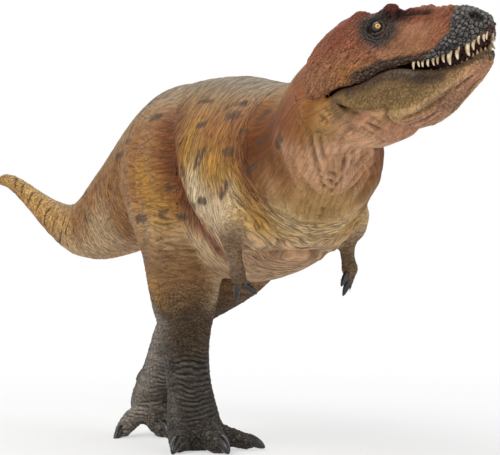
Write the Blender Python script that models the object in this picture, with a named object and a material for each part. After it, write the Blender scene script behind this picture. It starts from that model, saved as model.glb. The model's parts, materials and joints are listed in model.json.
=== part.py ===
"""A walking tyrannosaur toy figure: moulded vinyl pieces on pegs, with a lower jaw that swings on a pin.

Metres, Z up, X towards the head, Y to the animal's left. The origin is on the floor, under the middle
of the figure's box. Head pieces are modelled in the head's own frame: X forward, Y left, Z up, with
the jaw's hinge line along Y through its origin.
"""

import math

import bmesh
import bpy
import numpy as np
from mathutils import Matrix, Vector

# Clearance between neighbouring pieces
GAP = 0.0003

# Trunk and tail
HIP_HEIGHT = 0.090
TRUNK_LENGTH = 0.086
TAIL_LENGTH = 0.1815
BODY_DEPTH = 0.064
BODY_WIDTH = 0.046
TAIL_SEAM_SHARE = -0.235
TAIL_MIDDLE_SHARE = -0.64
SPINE_RINGS_PER_SPAN = 2
BODY_SIDES = 24

# Stations from the tail's tip (-1) over the hip (0) to the base of the neck (1). Along and sway are
# shares of the tail's or the trunk's length; rise, above and below are shares of the body's depth;
# side is a share of its width; the last two are how square the section is above and below.
SPINE_SHARES = (
    (-1.000, -0.156, 0.000, 0.017, 0.017, 0.020, 2.0, 2.0),
    (-0.985, -0.154, 0.000, 0.034, 0.034, 0.044, 2.0, 2.0),
    (-0.957, -0.148, 0.000, 0.044, 0.044, 0.057, 2.0, 2.0),
    (-0.891, -0.130, -0.062, 0.056, 0.056, 0.072, 2.0, 2.0),
    (-0.804, -0.106, -0.180, 0.081, 0.078, 0.102, 2.0, 2.0),
    (-0.707, -0.076, -0.289, 0.125, 0.125, 0.152, 2.0, 2.0),
    (-0.598, -0.052, -0.305, 0.190, 0.190, 0.228, 1.9, 2.0),
    (-0.489, -0.033, -0.227, 0.253, 0.250, 0.287, 1.9, 2.0),
    (-0.380, -0.019, -0.133, 0.312, 0.297, 0.326, 1.9, 2.0),
    (-0.272, -0.008, -0.047, 0.375, 0.305, 0.370, 1.9, 2.0),
    (-0.163, -0.002, 0.016, 0.398, 0.312, 0.413, 1.9, 2.0),
    (-0.054, 0.000, 0.016, 0.398, 0.390, 0.446, 1.9, 2.1),
    (0.116, 0.000, -0.031, 0.445, 0.475, 0.465, 1.9, 2.0),
    (0.349, 0.000, -0.086, 0.475, 0.500, 0.485, 1.9, 2.0),
    (0.581, 0.000, -0.109, 0.453, 0.465, 0.490, 1.9, 2.0),
    (0.814, 0.000, -0.086, 0.398, 0.400, 0.475, 1.9, 2.1),
    (1.000, -0.003, -0.031, 0.344, 0.300, 0.425, 1.9, 2.1),
)

# Neck, from the chest to the back of the head
NECK_LENGTH = 0.0300
NECK_YAW = math.radians(-8)
NECK_PITCH = math.radians(21)
NECK_RINGS = 9
NECK_FULLNESS = 2.2
NECK_BEND_SHARE = 1.15
NECK_WAIST_SHARE = 0.19
NAPE_HOLLOW_SHARE = 0.28
THROAT_HOLLOW_SHARE = 0.20
NECK_END_DEPTH = 0.0095
NECK_END_WIDTH_SHARE = 0.88

# Head: hinge line to snout, whole width across the cheeks, hinge line to crown
HEAD_LENGTH = 0.0398
HEAD_WIDTH = 0.0290
HEAD_HEIGHT = 0.0220
HEAD_YAW = math.radians(30)
HEAD_PITCH = math.radians(16)
HEAD_ROLL = math.radians(-6.5)
HEAD_REAR_SHARE = -0.241
HEAD_REAR_RISE_SHARE = 0.09
HEAD_RINGS_PER_SPAN = 1

# The upper head's outline: place along it, then side and height of the lip, cheek, brow and ridge.
# Places are shares of the head's length, sides of half its width, heights of its height.
SKULL_SHARES = (
    (-0.241, 0.979, 0.091, 1.000, 0.318, 0.690, 0.680, 0.820),
    (-0.101, 0.966, 0.091, 1.000, 0.341, 0.724, 0.800, 0.960),
    (0.038, 0.938, 0.091, 0.979, 0.341, 0.724, 0.875, 1.020),
    (0.113, 0.917, 0.068, 0.952, 0.327, 0.703, 0.880, 1.000),
    (0.226, 0.869, 0.082, 0.876, 0.341, 0.641, 0.840, 0.905),
    (0.327, 0.814, 0.123, 0.772, 0.355, 0.586, 0.850, 0.865),
    (0.402, 0.759, 0.109, 0.690, 0.341, 0.497, 0.815, 0.835),
    (0.528, 0.676, 0.086, 0.593, 0.309, 0.369, 0.745, 0.815),
    (0.653, 0.593, 0.055, 0.524, 0.273, 0.320, 0.670, 0.765),
    (0.779, 0.497, 0.073, 0.455, 0.264, 0.286, 0.605, 0.705),
    (0.879, 0.372, 0.118, 0.359, 0.264, 0.244, 0.530, 0.625),
    (0.955, 0.228, 0.182, 0.234, 0.273, 0.176, 0.450, 0.520),
    (1.000, 0.083, 0.227, 0.097, 0.273, 0.079, 0.370, 0.400),
)
SKULL_SIDES = 8
LIP_WALL = 0.0006
LIP_INSIDE_SHARE = 0.8
PALATE_RISE = 0.0019
NOSTRIL_RADIUS = 0.0011
NOSTRIL_SHARES = (0.930, 0.215, 0.475)
SKULL_PLUG_RADIUS = 0.0050
SKULL_PLUG_LENGTH = 0.0050
SKULL_PLUG_RISE = 0.0100

# Brow horns and the bosses behind the eyes: middle, then half sizes, along, across and up
BROW_HORN_SHARES = (0.375, 0.470, 0.800)
BROW_HORN_SIZE = (0.0040, 0.0022, 0.0025)
EYE_BOSS_SHARES = (0.165, 0.500, 0.880)
EYE_BOSS_SIZE = (0.0036, 0.0021, 0.0024)
KNOB_SIDES = 12

# Eyes
EYE_RADIUS = 0.0015
EYE_SHARES = (0.300, 0.665, 0.664)
EYE_SEGMENTS = 12

# Jaw hinge: the pin passes through the throat block and both sides of the jaw
JAW_PIN_RADIUS = 0.0007
JAW_PIN_PLAY = 0.00006
JAW_PIN_WALL = 0.0007
KNUCKLE_RADIUS = 0.0020
THROAT_RADIUS = 0.0130
THROAT_WIDTH = 0.0190
THROAT_DEPTH = 0.0110
THROAT_FULLNESS = 3.5
THROAT_RINGS = 6

# Jowls: the wide front of the neck, behind the jaw's two sides and under the back of the lips
JOWL_FRONT = -0.0024
JOWL_FRONT_WIDTH = 0.0240
JOWL_REAR_WIDTH = 0.0272
JOWL_REAR_SHARE = 1.35
JOWL_UPPER_SHARE = 0.22
JOWL_UPPER_FULLNESS = 3.5
JOWL_FULLNESS = 2.5
JOWL_RINGS = 4
JOWL_REAR_DEPTH_SHARE = 0.50

# Lower jaw, from behind the hinge to the chin. Places are shares of the head's length; side is a
# share of half its width; top and bottom are shares of the jaw's depth; the last is squareness below.
JAW_DEPTH = 0.0120
JAW_SHARES = (
    (-0.045, 0.800, -0.025, -0.050, 3.4),
    (-0.035, 0.814, 0.080, -0.125, 3.4),
    (0.000, 0.828, 0.130, -0.167, 3.4),
    (0.035, 0.828, 0.136, -0.333, 3.4),
    (0.083, 0.821, 0.108, -0.500, 3.0),
    (0.151, 0.807, 0.100, -0.650, 2.8),
    (0.251, 0.785, 0.130, -0.817, 2.7),
    (0.339, 0.745, 0.180, -0.865, 2.6),
    (0.427, 0.665, 0.150, -0.850, 2.6),
    (0.528, 0.550, 0.050, -0.790, 2.6),
    (0.628, 0.435, -0.060, -0.650, 2.5),
    (0.754, 0.330, -0.080, -0.450, 2.4),
    (0.854, 0.235, -0.060, -0.350, 2.3),
    (0.930, 0.155, -0.030, -0.240, 2.2),
    (0.967, 0.085, -0.030, -0.140, 2.2),
)
JAW_LIP_DEPTH = 0.0018
JAW_LIP_FULLNESS = 4.5
JAW_SIDES = 18
JAW_RIM = 0.0012
MOUTH_DEPTH = 0.0040
MOUTH_SHARES = (0.30, 0.82)
MOUTH_END_SHARE = 0.12
MOUTH_RINGS = 6
MOUTH_FULLNESS = 3

# Teeth and tongue
TOOTH_WIDTH = 0.0010
TOOTH_LENGTH = 0.0036
UPPER_TOOTH_SPLAY_SHARE = 0.16
GUM_WIDTH = 0.0014
GUM_DEPTH = 0.0008
UPPER_TOOTH_PAIRS = 14
UPPER_ROW_SHARES = (0.50, 0.950)
UPPER_TOOTH_SHARES = (0.55, 0.62, 0.68, 0.72, 0.76, 0.80, 0.90, 1.15, 1.10, 1.30, 1.00, 0.75, 0.60, 0.50)
LOWER_TOOTH_PAIRS = 11
LOWER_ROW_SHARES = (0.54, 0.900)
LOWER_TOOTH_SHARES = (0.45, 0.50, 0.50, 0.55, 0.55, 0.55, 0.60, 0.60, 0.60, 0.65, 0.60)
TOOTH_SIDES = 6
TOOTH_RINGS = 2
TOOTH_TAPER_SHARE = 0.78
TOOTH_TAPER_POWER = 1.6
TOOTH_BEND_SHARE = 0.33
SHORTEST_TOOTH_WIDTH_SHARE = 0.6
TOOTH_WIDTH_GAIN_SHARE = 0.5
ROW_STEPS = 60
GUM_FULLNESS = 3
ARCH_STEPS = 9
TONGUE_LENGTH = 0.0125
TONGUE_WIDTH = 0.0068
TONGUE_THICKNESS = 0.0016
TONGUE_START_SHARE = 0.44
TONGUE_RINGS = 8
TONGUE_TAPER_SHARE = 0.6
TONGUE_THINNING_SHARE = 0.5
TONGUE_FULLNESS = 2.4
TONGUE_CLEARANCE = 0.0012

# Legs. Fore and height are shares of the hip's height, side of the body's width, the two half sizes
# of the thigh's depth and width; the last is the lean of the section in degrees.
THIGH_DEPTH = 0.042
THIGH_WIDTH = 0.022
LEG_SIDES = 14
LEG_FULLNESS = 2.4
LEG_RINGS_PER_SPAN = 2
RIGHT_LEG_SHARES = (
    (-0.060, -0.270, 1.220, 0.250, 0.227, 0),
    (-0.010, -0.310, 1.130, 0.540, 0.400, 0),
    (0.020, -0.330, 0.978, 0.700, 0.590, 0),
    (0.085, -0.326, 0.822, 0.630, 0.580, 0),
    (0.145, -0.315, 0.689, 0.440, 0.530, 0),
    (0.150, -0.304, 0.578, 0.298, 0.500, 0),
    (0.100, -0.272, 0.489, 0.274, 0.432, 0),
    (0.028, -0.217, 0.411, 0.202, 0.364, 0),
    (-0.033, -0.174, 0.333, 0.167, 0.336, 0),
    (-0.039, -0.157, 0.256, 0.148, 0.327, 0),
    (-0.011, -0.152, 0.178, 0.155, 0.341, 0),
    (0.022, -0.152, 0.100, 0.190, 0.386, 0),
    (0.036, -0.152, 0.030, 0.190, 0.386, 0),
    (0.038, -0.152, -0.006, 0.160, 0.340, 0),
)
LEFT_LEG_SHARES = (
    (-0.060, 0.270, 1.220, 0.250, 0.227, 0),
    (-0.010, 0.310, 1.130, 0.540, 0.400, 0),
    (0.000, 0.330, 0.990, 0.690, 0.590, 0),
    (0.025, 0.320, 0.860, 0.560, 0.570, 4),
    (0.030, 0.300, 0.755, 0.350, 0.520, 16),
    (0.005, 0.265, 0.675, 0.270, 0.460, 38),
    (-0.060, 0.207, 0.610, 0.225, 0.410, 60),
    (-0.155, 0.115, 0.548, 0.195, 0.364, 68),
    (-0.260, 0.010, 0.480, 0.171, 0.318, 60),
    (-0.335, -0.055, 0.395, 0.171, 0.309, 42),
    (-0.395, -0.085, 0.305, 0.148, 0.295, 28),
    (-0.455, -0.100, 0.222, 0.148, 0.309, 22),
    (-0.517, -0.113, 0.150, 0.162, 0.341, 10),
    (-0.522, -0.117, 0.105, 0.143, 0.341, -20),
    (-0.515, -0.117, 0.075, 0.095, 0.250, -40),
)
HIP_PEG_RADIUS = 0.0060
HIP_PEG_LENGTH = 0.0070
HIP_PEG_SHARES = (0.0, 0.40, 1.0)

# Toes: the ball of the foot, then the knuckle and the tip of each toe, in shares of the foot's
# length ahead of the ball, to its left and above the floor; then the toe's thickness.
FOOT_LENGTH = 0.026
TOE_THICKNESS = 0.0088
CLAW_LENGTH = 0.0050
TOE_SIDES = 8
CLAW_SIDES = 6
RIGHT_BALL_SHARES = (0.022, -0.152, 0.075)
RIGHT_TOES_SHARES = {
    "inner": ((0.20, 0.32, 0.17), (0.36, 0.58, 0.09), 0.80),
    "middle": ((0.36, 0.08, 0.19), (0.66, 0.12, 0.09), 1.00),
    "outer": ((0.24, -0.20, 0.18), (0.42, -0.34, 0.09), 0.92),
}
LEFT_BALL_SHARES = (-0.515, -0.117, 0.115)
LEFT_TOES_SHARES = {
    "inner": ((0.10, -0.34, 0.20), (0.24, -0.50, 0.07), 0.80),
    "middle": ((0.20, -0.02, 0.22), (0.42, 0.02, 0.09), 1.00),
    "outer": ((0.16, 0.28, 0.20), (0.34, 0.52, 0.09), 0.92),
}
TOE_ROOT_SHARE = 0.15
TOE_STEPS = 7
# Places along a toe from its root over its knuckle (1) to its tip (2), and the thickness there
TOE_PROFILE_SHARES = ((0.0, 0.90), (1.0, 1.00), (1.5, 0.90), (2.0, 0.82))
TOE_END_SHARES = (0.25, 0.45)
CLAW_ROOT_SHARES = (0.50, 0.125, 0.25)
CLAW_STEPS = 4
CLAW_TAPER_SHARE = 0.85
CLAW_TAPER_POWER = 1.5
SPUR_LENGTH = 0.0060
SPUR_THICKNESS = 0.0034
SPUR_DIRECTION_SHARES = (-0.75, -0.40, -0.40)
SPUR_DROP_SHARE = 0.33
LEG_CUT_SHARE = -0.6
RIGHT_SPUR_SHARES = (-0.070, -0.085, 0.200)
LEFT_SPUR_SHARES = (-0.500, -0.185, 0.245)

# Arms: stations down the arm ahead of the hip, to the side and above the floor, then thickness.
# Fore is a share of the trunk's length, side of half the body's width, drop of the arm's length.
ARM_LENGTH = 0.023
ARM_THICKNESS = 0.0084
ARM_SIDES = 12
SHOULDER_SHARES = (0.870, 0.760, -0.250)
ARM_SHARES = (
    (0.000, 0.000, 0.000, 0.80),
    (-0.120, 0.020, -0.120, 1.05),
    (-0.270, 0.020, -0.270, 1.05),
    (-0.340, 0.000, -0.400, 0.76),
    (-0.300, -0.020, -0.540, 0.56),
    (-0.240, -0.030, -0.680, 0.50),
    (-0.200, -0.025, -0.790, 0.62),
    (-0.180, -0.030, -0.860, 0.52),
)
LEFT_ARM_SHARE = 0.94
FINGER_LENGTH = 0.0043
FINGER_THICKNESS = 0.0030
ARM_RINGS_PER_SPAN = 2
FINGER_SIDES = 8
FINGER_WIDTH_SHARES = (1.00, 0.95, 0.70)
FINGER_CLAW_SHARE = 0.70
FINGER_CLAW_ROOT_SHARE = 0.20
FINGER_CLAW_WIDTH_SHARES = (0.60, 0.42, 0.10)
FINGERS_SHARES = (((0.10, 0.05, -0.60), (0.10, 0.00, -1.15)), ((0.40, -0.45, -0.25), (0.60, -0.85, -0.40)))
SHOULDER_PEG_RADIUS = 0.0025
SHOULDER_PEG_LENGTH = 0.0050
SHOULDER_PEG_SHARES = (-0.15, 0.0, -0.12)

# Pegs along the body
BODY_PEG_RADIUS = 0.0060
BODY_PEG_LENGTH = 0.0080
TAIL_PEG_RADIUS = 0.0030
PEG_SIDES = 24

COLOURS = {
    "torso": (0.52, 0.33, 0.15),
    "neck": (0.44, 0.20, 0.10),
    "skull": (0.38, 0.15, 0.09),
    "lower_jaw": (0.40, 0.33, 0.17),
    "upper_teeth": (0.80, 0.74, 0.60),
    "lower_teeth": (0.80, 0.74, 0.60),
    "tongue": (0.45, 0.16, 0.13),
    "jaw_pin": (0.35, 0.33, 0.32),
    "left_eye": (0.55, 0.32, 0.04),
    "right_eye": (0.55, 0.32, 0.04),
    "tail_root": (0.50, 0.31, 0.13),
    "tail_tip": (0.46, 0.28, 0.12),
    "right_leg": (0.30, 0.20, 0.11),
    "left_leg": (0.30, 0.20, 0.11),
    "right_arm": (0.24, 0.18, 0.14),
    "left_arm": (0.24, 0.18, 0.14),
}
ROUGHNESS = {"left_eye": 0.1, "right_eye": 0.1, "upper_teeth": 0.35, "lower_teeth": 0.35, "tongue": 0.4}
PLAIN_ROUGHNESS = 0.55
SMOOTH_ANGLE = math.radians(40)


def finish_of(name):
    """The piece's own paint."""
    material = bpy.data.materials.new(name + "_paint")
    material.use_nodes = True
    shader = material.node_tree.nodes["Principled BSDF"]
    shader.inputs["Base Color"].default_value = (*COLOURS[name], 1)
    shader.inputs["Roughness"].default_value = ROUGHNESS.get(name, PLAIN_ROUGHNESS)
    shader.inputs["Metallic"].default_value = 1 if name == "jaw_pin" else 0
    return material


def empty(name, parent=None, matrix=None):
    holder = bpy.data.objects.new(name, None)
    bpy.context.scene.collection.objects.link(holder)
    holder.parent = parent
    holder.matrix_basis = matrix or Matrix.Identity(4)
    return holder


def solid(name, rings, parent):
    """A closed loft through rings of equally many points, with a flat cap at each end."""
    mesh = bpy.data.meshes.new(name)
    shape = bmesh.new()
    loops = [[shape.verts.new(point) for point in ring] for ring in rings]
    for near, far in zip(loops, loops[1:]):
        for i in range(len(near)):
            j = (i + 1) % len(near)
            shape.faces.new((near[i], near[j], far[j], far[i]))
    shape.faces.new(loops[0])
    shape.faces.new(loops[-1])
    bmesh.ops.recalc_face_normals(shape, faces=shape.faces)
    shape.to_mesh(mesh)
    shape.free()
    piece = bpy.data.objects.new(name, mesh)
    bpy.context.scene.collection.objects.link(piece)
    piece.parent = parent
    return piece


def combine(piece, operation, others):
    """Joins the other shapes to the piece, or cuts them from it, and removes them."""
    for other in others:
        modifier = piece.modifiers.new(operation.lower(), "BOOLEAN")
        modifier.operation = operation
        modifier.solver = "EXACT"
        modifier.object = other
    bpy.context.view_layer.update()
    graph = bpy.context.evaluated_depsgraph_get()
    before = piece.data
    after = bpy.data.meshes.new_from_object(piece.evaluated_get(graph))
    piece.modifiers.clear()
    piece.data = after
    after.name = piece.name
    bpy.data.meshes.remove(before)
    for other in others:
        bpy.data.meshes.remove(other.data)


def dressed(piece):
    """Gives a finished piece its paint and its shading."""
    piece.data.materials.clear()
    piece.data.materials.append(finish_of(piece.name))
    piece.data.shade_smooth()
    piece.data.set_sharp_from_angle(angle=SMOOTH_ANGLE)
    return piece


def between(rows, place):
    """The row of a table at a place, its first column, on a smooth curve through the rows."""
    rows = np.array(rows, float)
    places = rows[:, 0]
    slopes = np.gradient(rows, places, axis=0)
    i = min(max(int(np.searchsorted(places, place)) - 1, 0), len(rows) - 2)
    span = places[i + 1] - places[i]
    t = (place - places[i]) / span
    start = (1 + 2 * t) * (1 - t) ** 2 * rows[i] + t * (1 - t) ** 2 * span * slopes[i]
    end = t * t * (3 - 2 * t) * rows[i + 1] - t * t * (1 - t) * span * slopes[i + 1]
    return start + end


def steps_of(rows, per_span):
    """The places of a table's rows, with more between them at even steps."""
    places = [row[0] for row in rows]
    result = []
    for near, far in zip(places, places[1:]):
        result += [near + (far - near) * k / per_span for k in range(per_span)]
    return result + [places[-1]]


def egg(centre, side, up, half_width, above, below, square_above, square_below, count):
    """A closed section: rounded, with its own height and squareness above and below its centre."""
    ring = []
    for k in range(count):
        angle = 2 * math.pi * k / count
        across, height = math.sin(angle), math.cos(angle)
        power = 2 / (square_above if height > 0 else square_below)
        reach = above if height > 0 else below
        x = math.copysign(abs(across) ** power, across) * half_width
        z = math.copysign(abs(height) ** power, height) * reach
        ring.append(Vector(centre) + Vector(side) * x + Vector(up) * z)
    return ring


def frame_of(direction, up):
    """The side and up directions of a section that stands square to a direction."""
    direction = Vector(direction).normalized()
    side = Vector(up).cross(direction).normalized()
    return side, direction.cross(side)


def tube_rings(points, thicknesses, count, up=(0, 0, 1)):
    """Round rings along a path, each as thick as given there."""
    points = [Vector(point) for point in points]
    rings = []
    for i, point in enumerate(points):
        direction = points[min(i + 1, len(points) - 1)] - points[max(i - 1, 0)]
        side, upward = frame_of(direction, up)
        half = thicknesses[i] / 2
        rings.append(egg(point, side, upward, half, half, half, 2, 2, count))
    return rings


def peg(name, start, direction, radius, length, parent):
    """A round peg from its start along a direction."""
    start = Vector(start)
    direction = Vector(direction).normalized()
    guide = (0, 0, 1) if abs(direction.z) < abs(direction.y) + abs(direction.x) else (0, 1, 0)
    ends = (start, start + direction * length)
    side, up = frame_of(direction, guide)
    return solid(name, [egg(end, side, up, radius, radius, radius, 2, 2, PEG_SIDES) for end in ends], parent)


def peg_and_socket(male, female, start, direction, radius, length, parent):
    """Gives one piece a peg, sunk a little into it, and its neighbour the socket that takes it."""
    direction = Vector(direction).normalized()
    start = Vector(start)
    root = start - direction * (radius / 2)
    combine(male, "UNION", [peg("peg", root, direction, radius, length + radius / 2, parent)])
    inner = peg("socket", root, direction, radius + GAP, length + radius / 2 + GAP, parent)
    combine(female, "DIFFERENCE", [inner])


def spine_sections():
    """The places and sections of the spine, from the tail's tip to the base of the neck."""
    rows = []
    for along, sway, rise, above, below, side, square_above, square_below in SPINE_SHARES:
        length = TAIL_LENGTH if along < 0 else TRUNK_LENGTH
        rows.append(
            (
                along * length,
                sway * length,
                HIP_HEIGHT + rise * BODY_DEPTH,
                above * BODY_DEPTH,
                below * BODY_DEPTH,
                side * BODY_WIDTH,
                square_above,
                square_below,
            )
        )
    places = steps_of(rows, SPINE_RINGS_PER_SPAN)
    places += [TAIL_SEAM_SHARE * TAIL_LENGTH, TAIL_MIDDLE_SHARE * TAIL_LENGTH]
    places = sorted(places)
    sections = [between(rows, place) for place in places]
    return places, np.array(sections)


def spine_ring(section, direction, grow=0.0, shift=0.0):
    """One ring of the body, swollen by grow and moved by shift along the spine."""
    x, y, z, above, below, half_width, square_above, square_below = section
    side, up = frame_of(direction, (0, 0, 1))
    centre = Vector((x, y, z)) + Vector(direction).normalized() * shift
    sizes = (half_width + grow, above + grow, below + grow)
    return egg(centre, side, up, *sizes, square_above, square_below, BODY_SIDES)


class Spine:
    """The trunk's and the tail's sections, shared by the pieces on both sides of each seam."""

    def __init__(self):
        self.places, self.sections = spine_sections()
        self.directions = np.gradient(self.sections[:, :3], axis=0)

    def index(self, share):
        length = TAIL_LENGTH if share < 0 else TRUNK_LENGTH
        return int(np.argmin(np.abs(np.array(self.places) - share * length)))

    def rings(self, start, end, grow=0.0, lead=0.0):
        """The rings between two seams, the first one moved forward by lead."""
        first, last = self.index(start), self.index(end)
        return [
            spine_ring(self.sections[i], self.directions[i], grow, lead if i == first else 0.0)
            for i in range(first, last + 1)
        ]

    def seam(self, share):
        i = self.index(share)
        return Vector(self.sections[i, :3]), Vector(self.directions[i]).normalized()


def head_matrix(spine):
    """The head's frame: its origin is on the jaw's hinge line."""
    base, _ = spine.seam(1)
    reach = Vector(
        (
            math.cos(NECK_YAW) * math.cos(NECK_PITCH),
            math.sin(NECK_YAW) * math.cos(NECK_PITCH),
            math.sin(NECK_PITCH),
        )
    )
    yaw = Matrix.Rotation(HEAD_YAW, 3, "Z")
    pitch = Matrix.Rotation(-HEAD_PITCH, 3, "Y")
    turn = yaw @ pitch @ Matrix.Rotation(HEAD_ROLL, 3, "X")
    rear = Vector((HEAD_REAR_SHARE * HEAD_LENGTH, 0, HEAD_REAR_RISE_SHARE * HEAD_HEIGHT))
    origin = base + reach * NECK_LENGTH - turn @ rear
    return Matrix.Translation(origin) @ turn.to_4x4()


def lip_inside(outline):
    """Half the width between the lips' inner faces, and the palate's height above the lips."""
    lip, cheek = outline["lip"], outline["cheek"]
    return min(lip.x - LIP_WALL, lip.x * LIP_INSIDE_SHARE), min(PALATE_RISE, (cheek.y - lip.y) / 2)


def skull_point(share):
    """The upper head's outline at a share of its length, in metres."""
    row = between(SKULL_SHARES, share)
    half = HEAD_WIDTH / 2
    return {
        "place": row[0] * HEAD_LENGTH,
        "lip": Vector((row[1] * half, row[2] * HEAD_HEIGHT)),
        "cheek": Vector((row[3] * half, row[4] * HEAD_HEIGHT)),
        "brow": Vector((row[5] * half, row[6] * HEAD_HEIGHT)),
        "ridge": Vector((0, row[7] * HEAD_HEIGHT)),
    }


def skull_ring(share, shift=0.0):
    """A section of the upper head: lip, cheek, brow and ridge on both sides, and the palate below."""
    outline = skull_point(share)
    lip, cheek, brow, ridge = (outline[key] for key in ("lip", "cheek", "brow", "ridge"))
    heights = (0, 1, 2, 3)
    corners = [(h, *p) for h, p in zip(heights, (lip, cheek, brow, ridge))]
    corners.append((4, -brow.x, brow.y))
    count = SKULL_SIDES
    one_side = [between(corners, 3 * k / count)[1:] for k in range(count)] + [ridge]
    inner, roof = lip_inside(outline)
    below = [(inner, lip.y), (inner, lip.y + roof), (inner / 2, lip.y + roof)]
    x = outline["place"] + shift
    right = [Vector((x, -p[0], p[1])) for p in one_side]
    left = [Vector((x, p[0], p[1])) for p in one_side[-2::-1]]
    under_left = [Vector((x, p[0], p[1])) for p in below]
    under_right = [Vector((x, -p[0], p[1])) for p in below[::-1]]
    return right + left + under_left + under_right


def head_shares():
    return steps_of(SKULL_SHARES, HEAD_RINGS_PER_SPAN)


def knob(shares, size, sign, parent):
    """A rounded bump on one side of the head."""
    centre = Vector((shares[0] * HEAD_LENGTH, sign * shares[1] * HEAD_WIDTH / 2, shares[2] * HEAD_HEIGHT))
    rings = []
    steps = KNOB_SIDES // 2
    for k in range(steps):
        angle = math.pi * (k + 0.5) / steps
        place = centre + Vector((size[0] * math.cos(angle), 0, 0))
        across, upward = size[1] * math.sin(angle), size[2] * math.sin(angle)
        rings.append(egg(place, (0, 1, 0), (0, 0, 1), across, upward, upward, 2, 2, KNOB_SIDES))
    return solid("knob", rings, parent)


def make_skull(head):
    rings = [skull_ring(share, GAP if i == 0 else 0.0) for i, share in enumerate(head_shares())]
    skull = solid("skull", rings, head)
    for shares, size in ((BROW_HORN_SHARES, BROW_HORN_SIZE), (EYE_BOSS_SHARES, EYE_BOSS_SIZE)):
        combine(skull, "UNION", [knob(shares, size, sign, head) for sign in (-1, 1)])
    eye_x, eye_y, eye_z = eye_place()
    for sign in (-1, 1):
        combine(skull, "DIFFERENCE", [ball("socket", (eye_x, sign * eye_y, eye_z), EYE_RADIUS + GAP, head)])
        along, across, height = NOSTRIL_SHARES
        place = (along * HEAD_LENGTH, sign * across * HEAD_WIDTH / 2, height * HEAD_HEIGHT)
        combine(skull, "DIFFERENCE", [ball("nostril", place, NOSTRIL_RADIUS, head)])
    return skull


def ball(name, centre, radius, parent):
    """A ball turned about the Y axis, from rings between its two ends."""
    rings = []
    steps = EYE_SEGMENTS // 2
    for k in range(steps):
        angle = math.pi * (k + 0.5) / steps
        middle = Vector(centre) + Vector((0, -math.cos(angle) * radius, 0))
        size = math.sin(angle) * radius
        rings.append(egg(middle, (1, 0, 0), (0, 0, 1), size, size, size, 2, 2, EYE_SEGMENTS))
    return solid(name, rings, parent)


def eye_place():
    along, across, height = EYE_SHARES
    return along * HEAD_LENGTH, across * HEAD_WIDTH / 2, height * HEAD_HEIGHT


def make_eyes(head):
    x, y, z = eye_place()
    return [ball("right_eye", (x, -y, z), EYE_RADIUS, head), ball("left_eye", (x, y, z), EYE_RADIUS, head)]


def make_throat(head):
    """The throat block: a drum about the hinge line that the jaw's two sides straddle."""
    front = THROAT_RADIUS * math.cos(math.asin(KNUCKLE_RADIUS / THROAT_RADIUS))
    step = KNUCKLE_RADIUS * 2
    places = [-step, -KNUCKLE_RADIUS, 0, step / 2, step]
    places += [step + (front - step) * k / THROAT_RINGS for k in range(1, THROAT_RINGS + 1)]
    rings = []
    for place in places:
        top = KNUCKLE_RADIUS if place <= step / 2 else -GAP
        bottom = -min(THROAT_DEPTH, math.sqrt(THROAT_RADIUS**2 - place**2))
        middle, half = (top + bottom) / 2, (top - bottom) / 2
        sizes = (THROAT_WIDTH / 2, half, half)
        squares = (THROAT_FULLNESS, THROAT_FULLNESS)
        rings.append(egg((place, 0, middle), (0, -1, 0), (0, 0, 1), *sizes, *squares, JAW_SIDES))
    return solid("throat", rings, head)


def make_jowls(head):
    """The neck's front behind the jaw, up to the underside of the lips."""
    rear = HEAD_REAR_SHARE * HEAD_LENGTH * JOWL_REAR_SHARE
    top = skull_point(HEAD_REAR_SHARE)["lip"].y - GAP
    depth = top + THROAT_DEPTH - GAP
    above = depth * JOWL_UPPER_SHARE
    below = depth - above
    rings = []
    for k in range(JOWL_RINGS):
        t = k / (JOWL_RINGS - 1)
        centre = (rear + (JOWL_FRONT - rear) * t, 0, top - above)
        half_width = (JOWL_REAR_WIDTH + (JOWL_FRONT_WIDTH - JOWL_REAR_WIDTH) * t) / 2
        reach = below * (JOWL_REAR_DEPTH_SHARE + (1 - JOWL_REAR_DEPTH_SHARE) * t)
        squares = (JOWL_UPPER_FULLNESS, JOWL_FULLNESS)
        rings.append(egg(centre, (0, -1, 0), (0, 0, 1), half_width, above, reach, *squares, BODY_SIDES))
    return solid("jowls", rings, head)


def pin_length():
    """Tip to tip, ending inside the jaw's two sides."""
    outer = between(JAW_SHARES, 0)[1] * HEAD_WIDTH / 2
    return 2 * (outer - JAW_PIN_WALL)


def pin_shape(name, radius, length, parent):
    return peg(name, (0, -length / 2, 0), (0, 1, 0), radius, length, parent)


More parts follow.
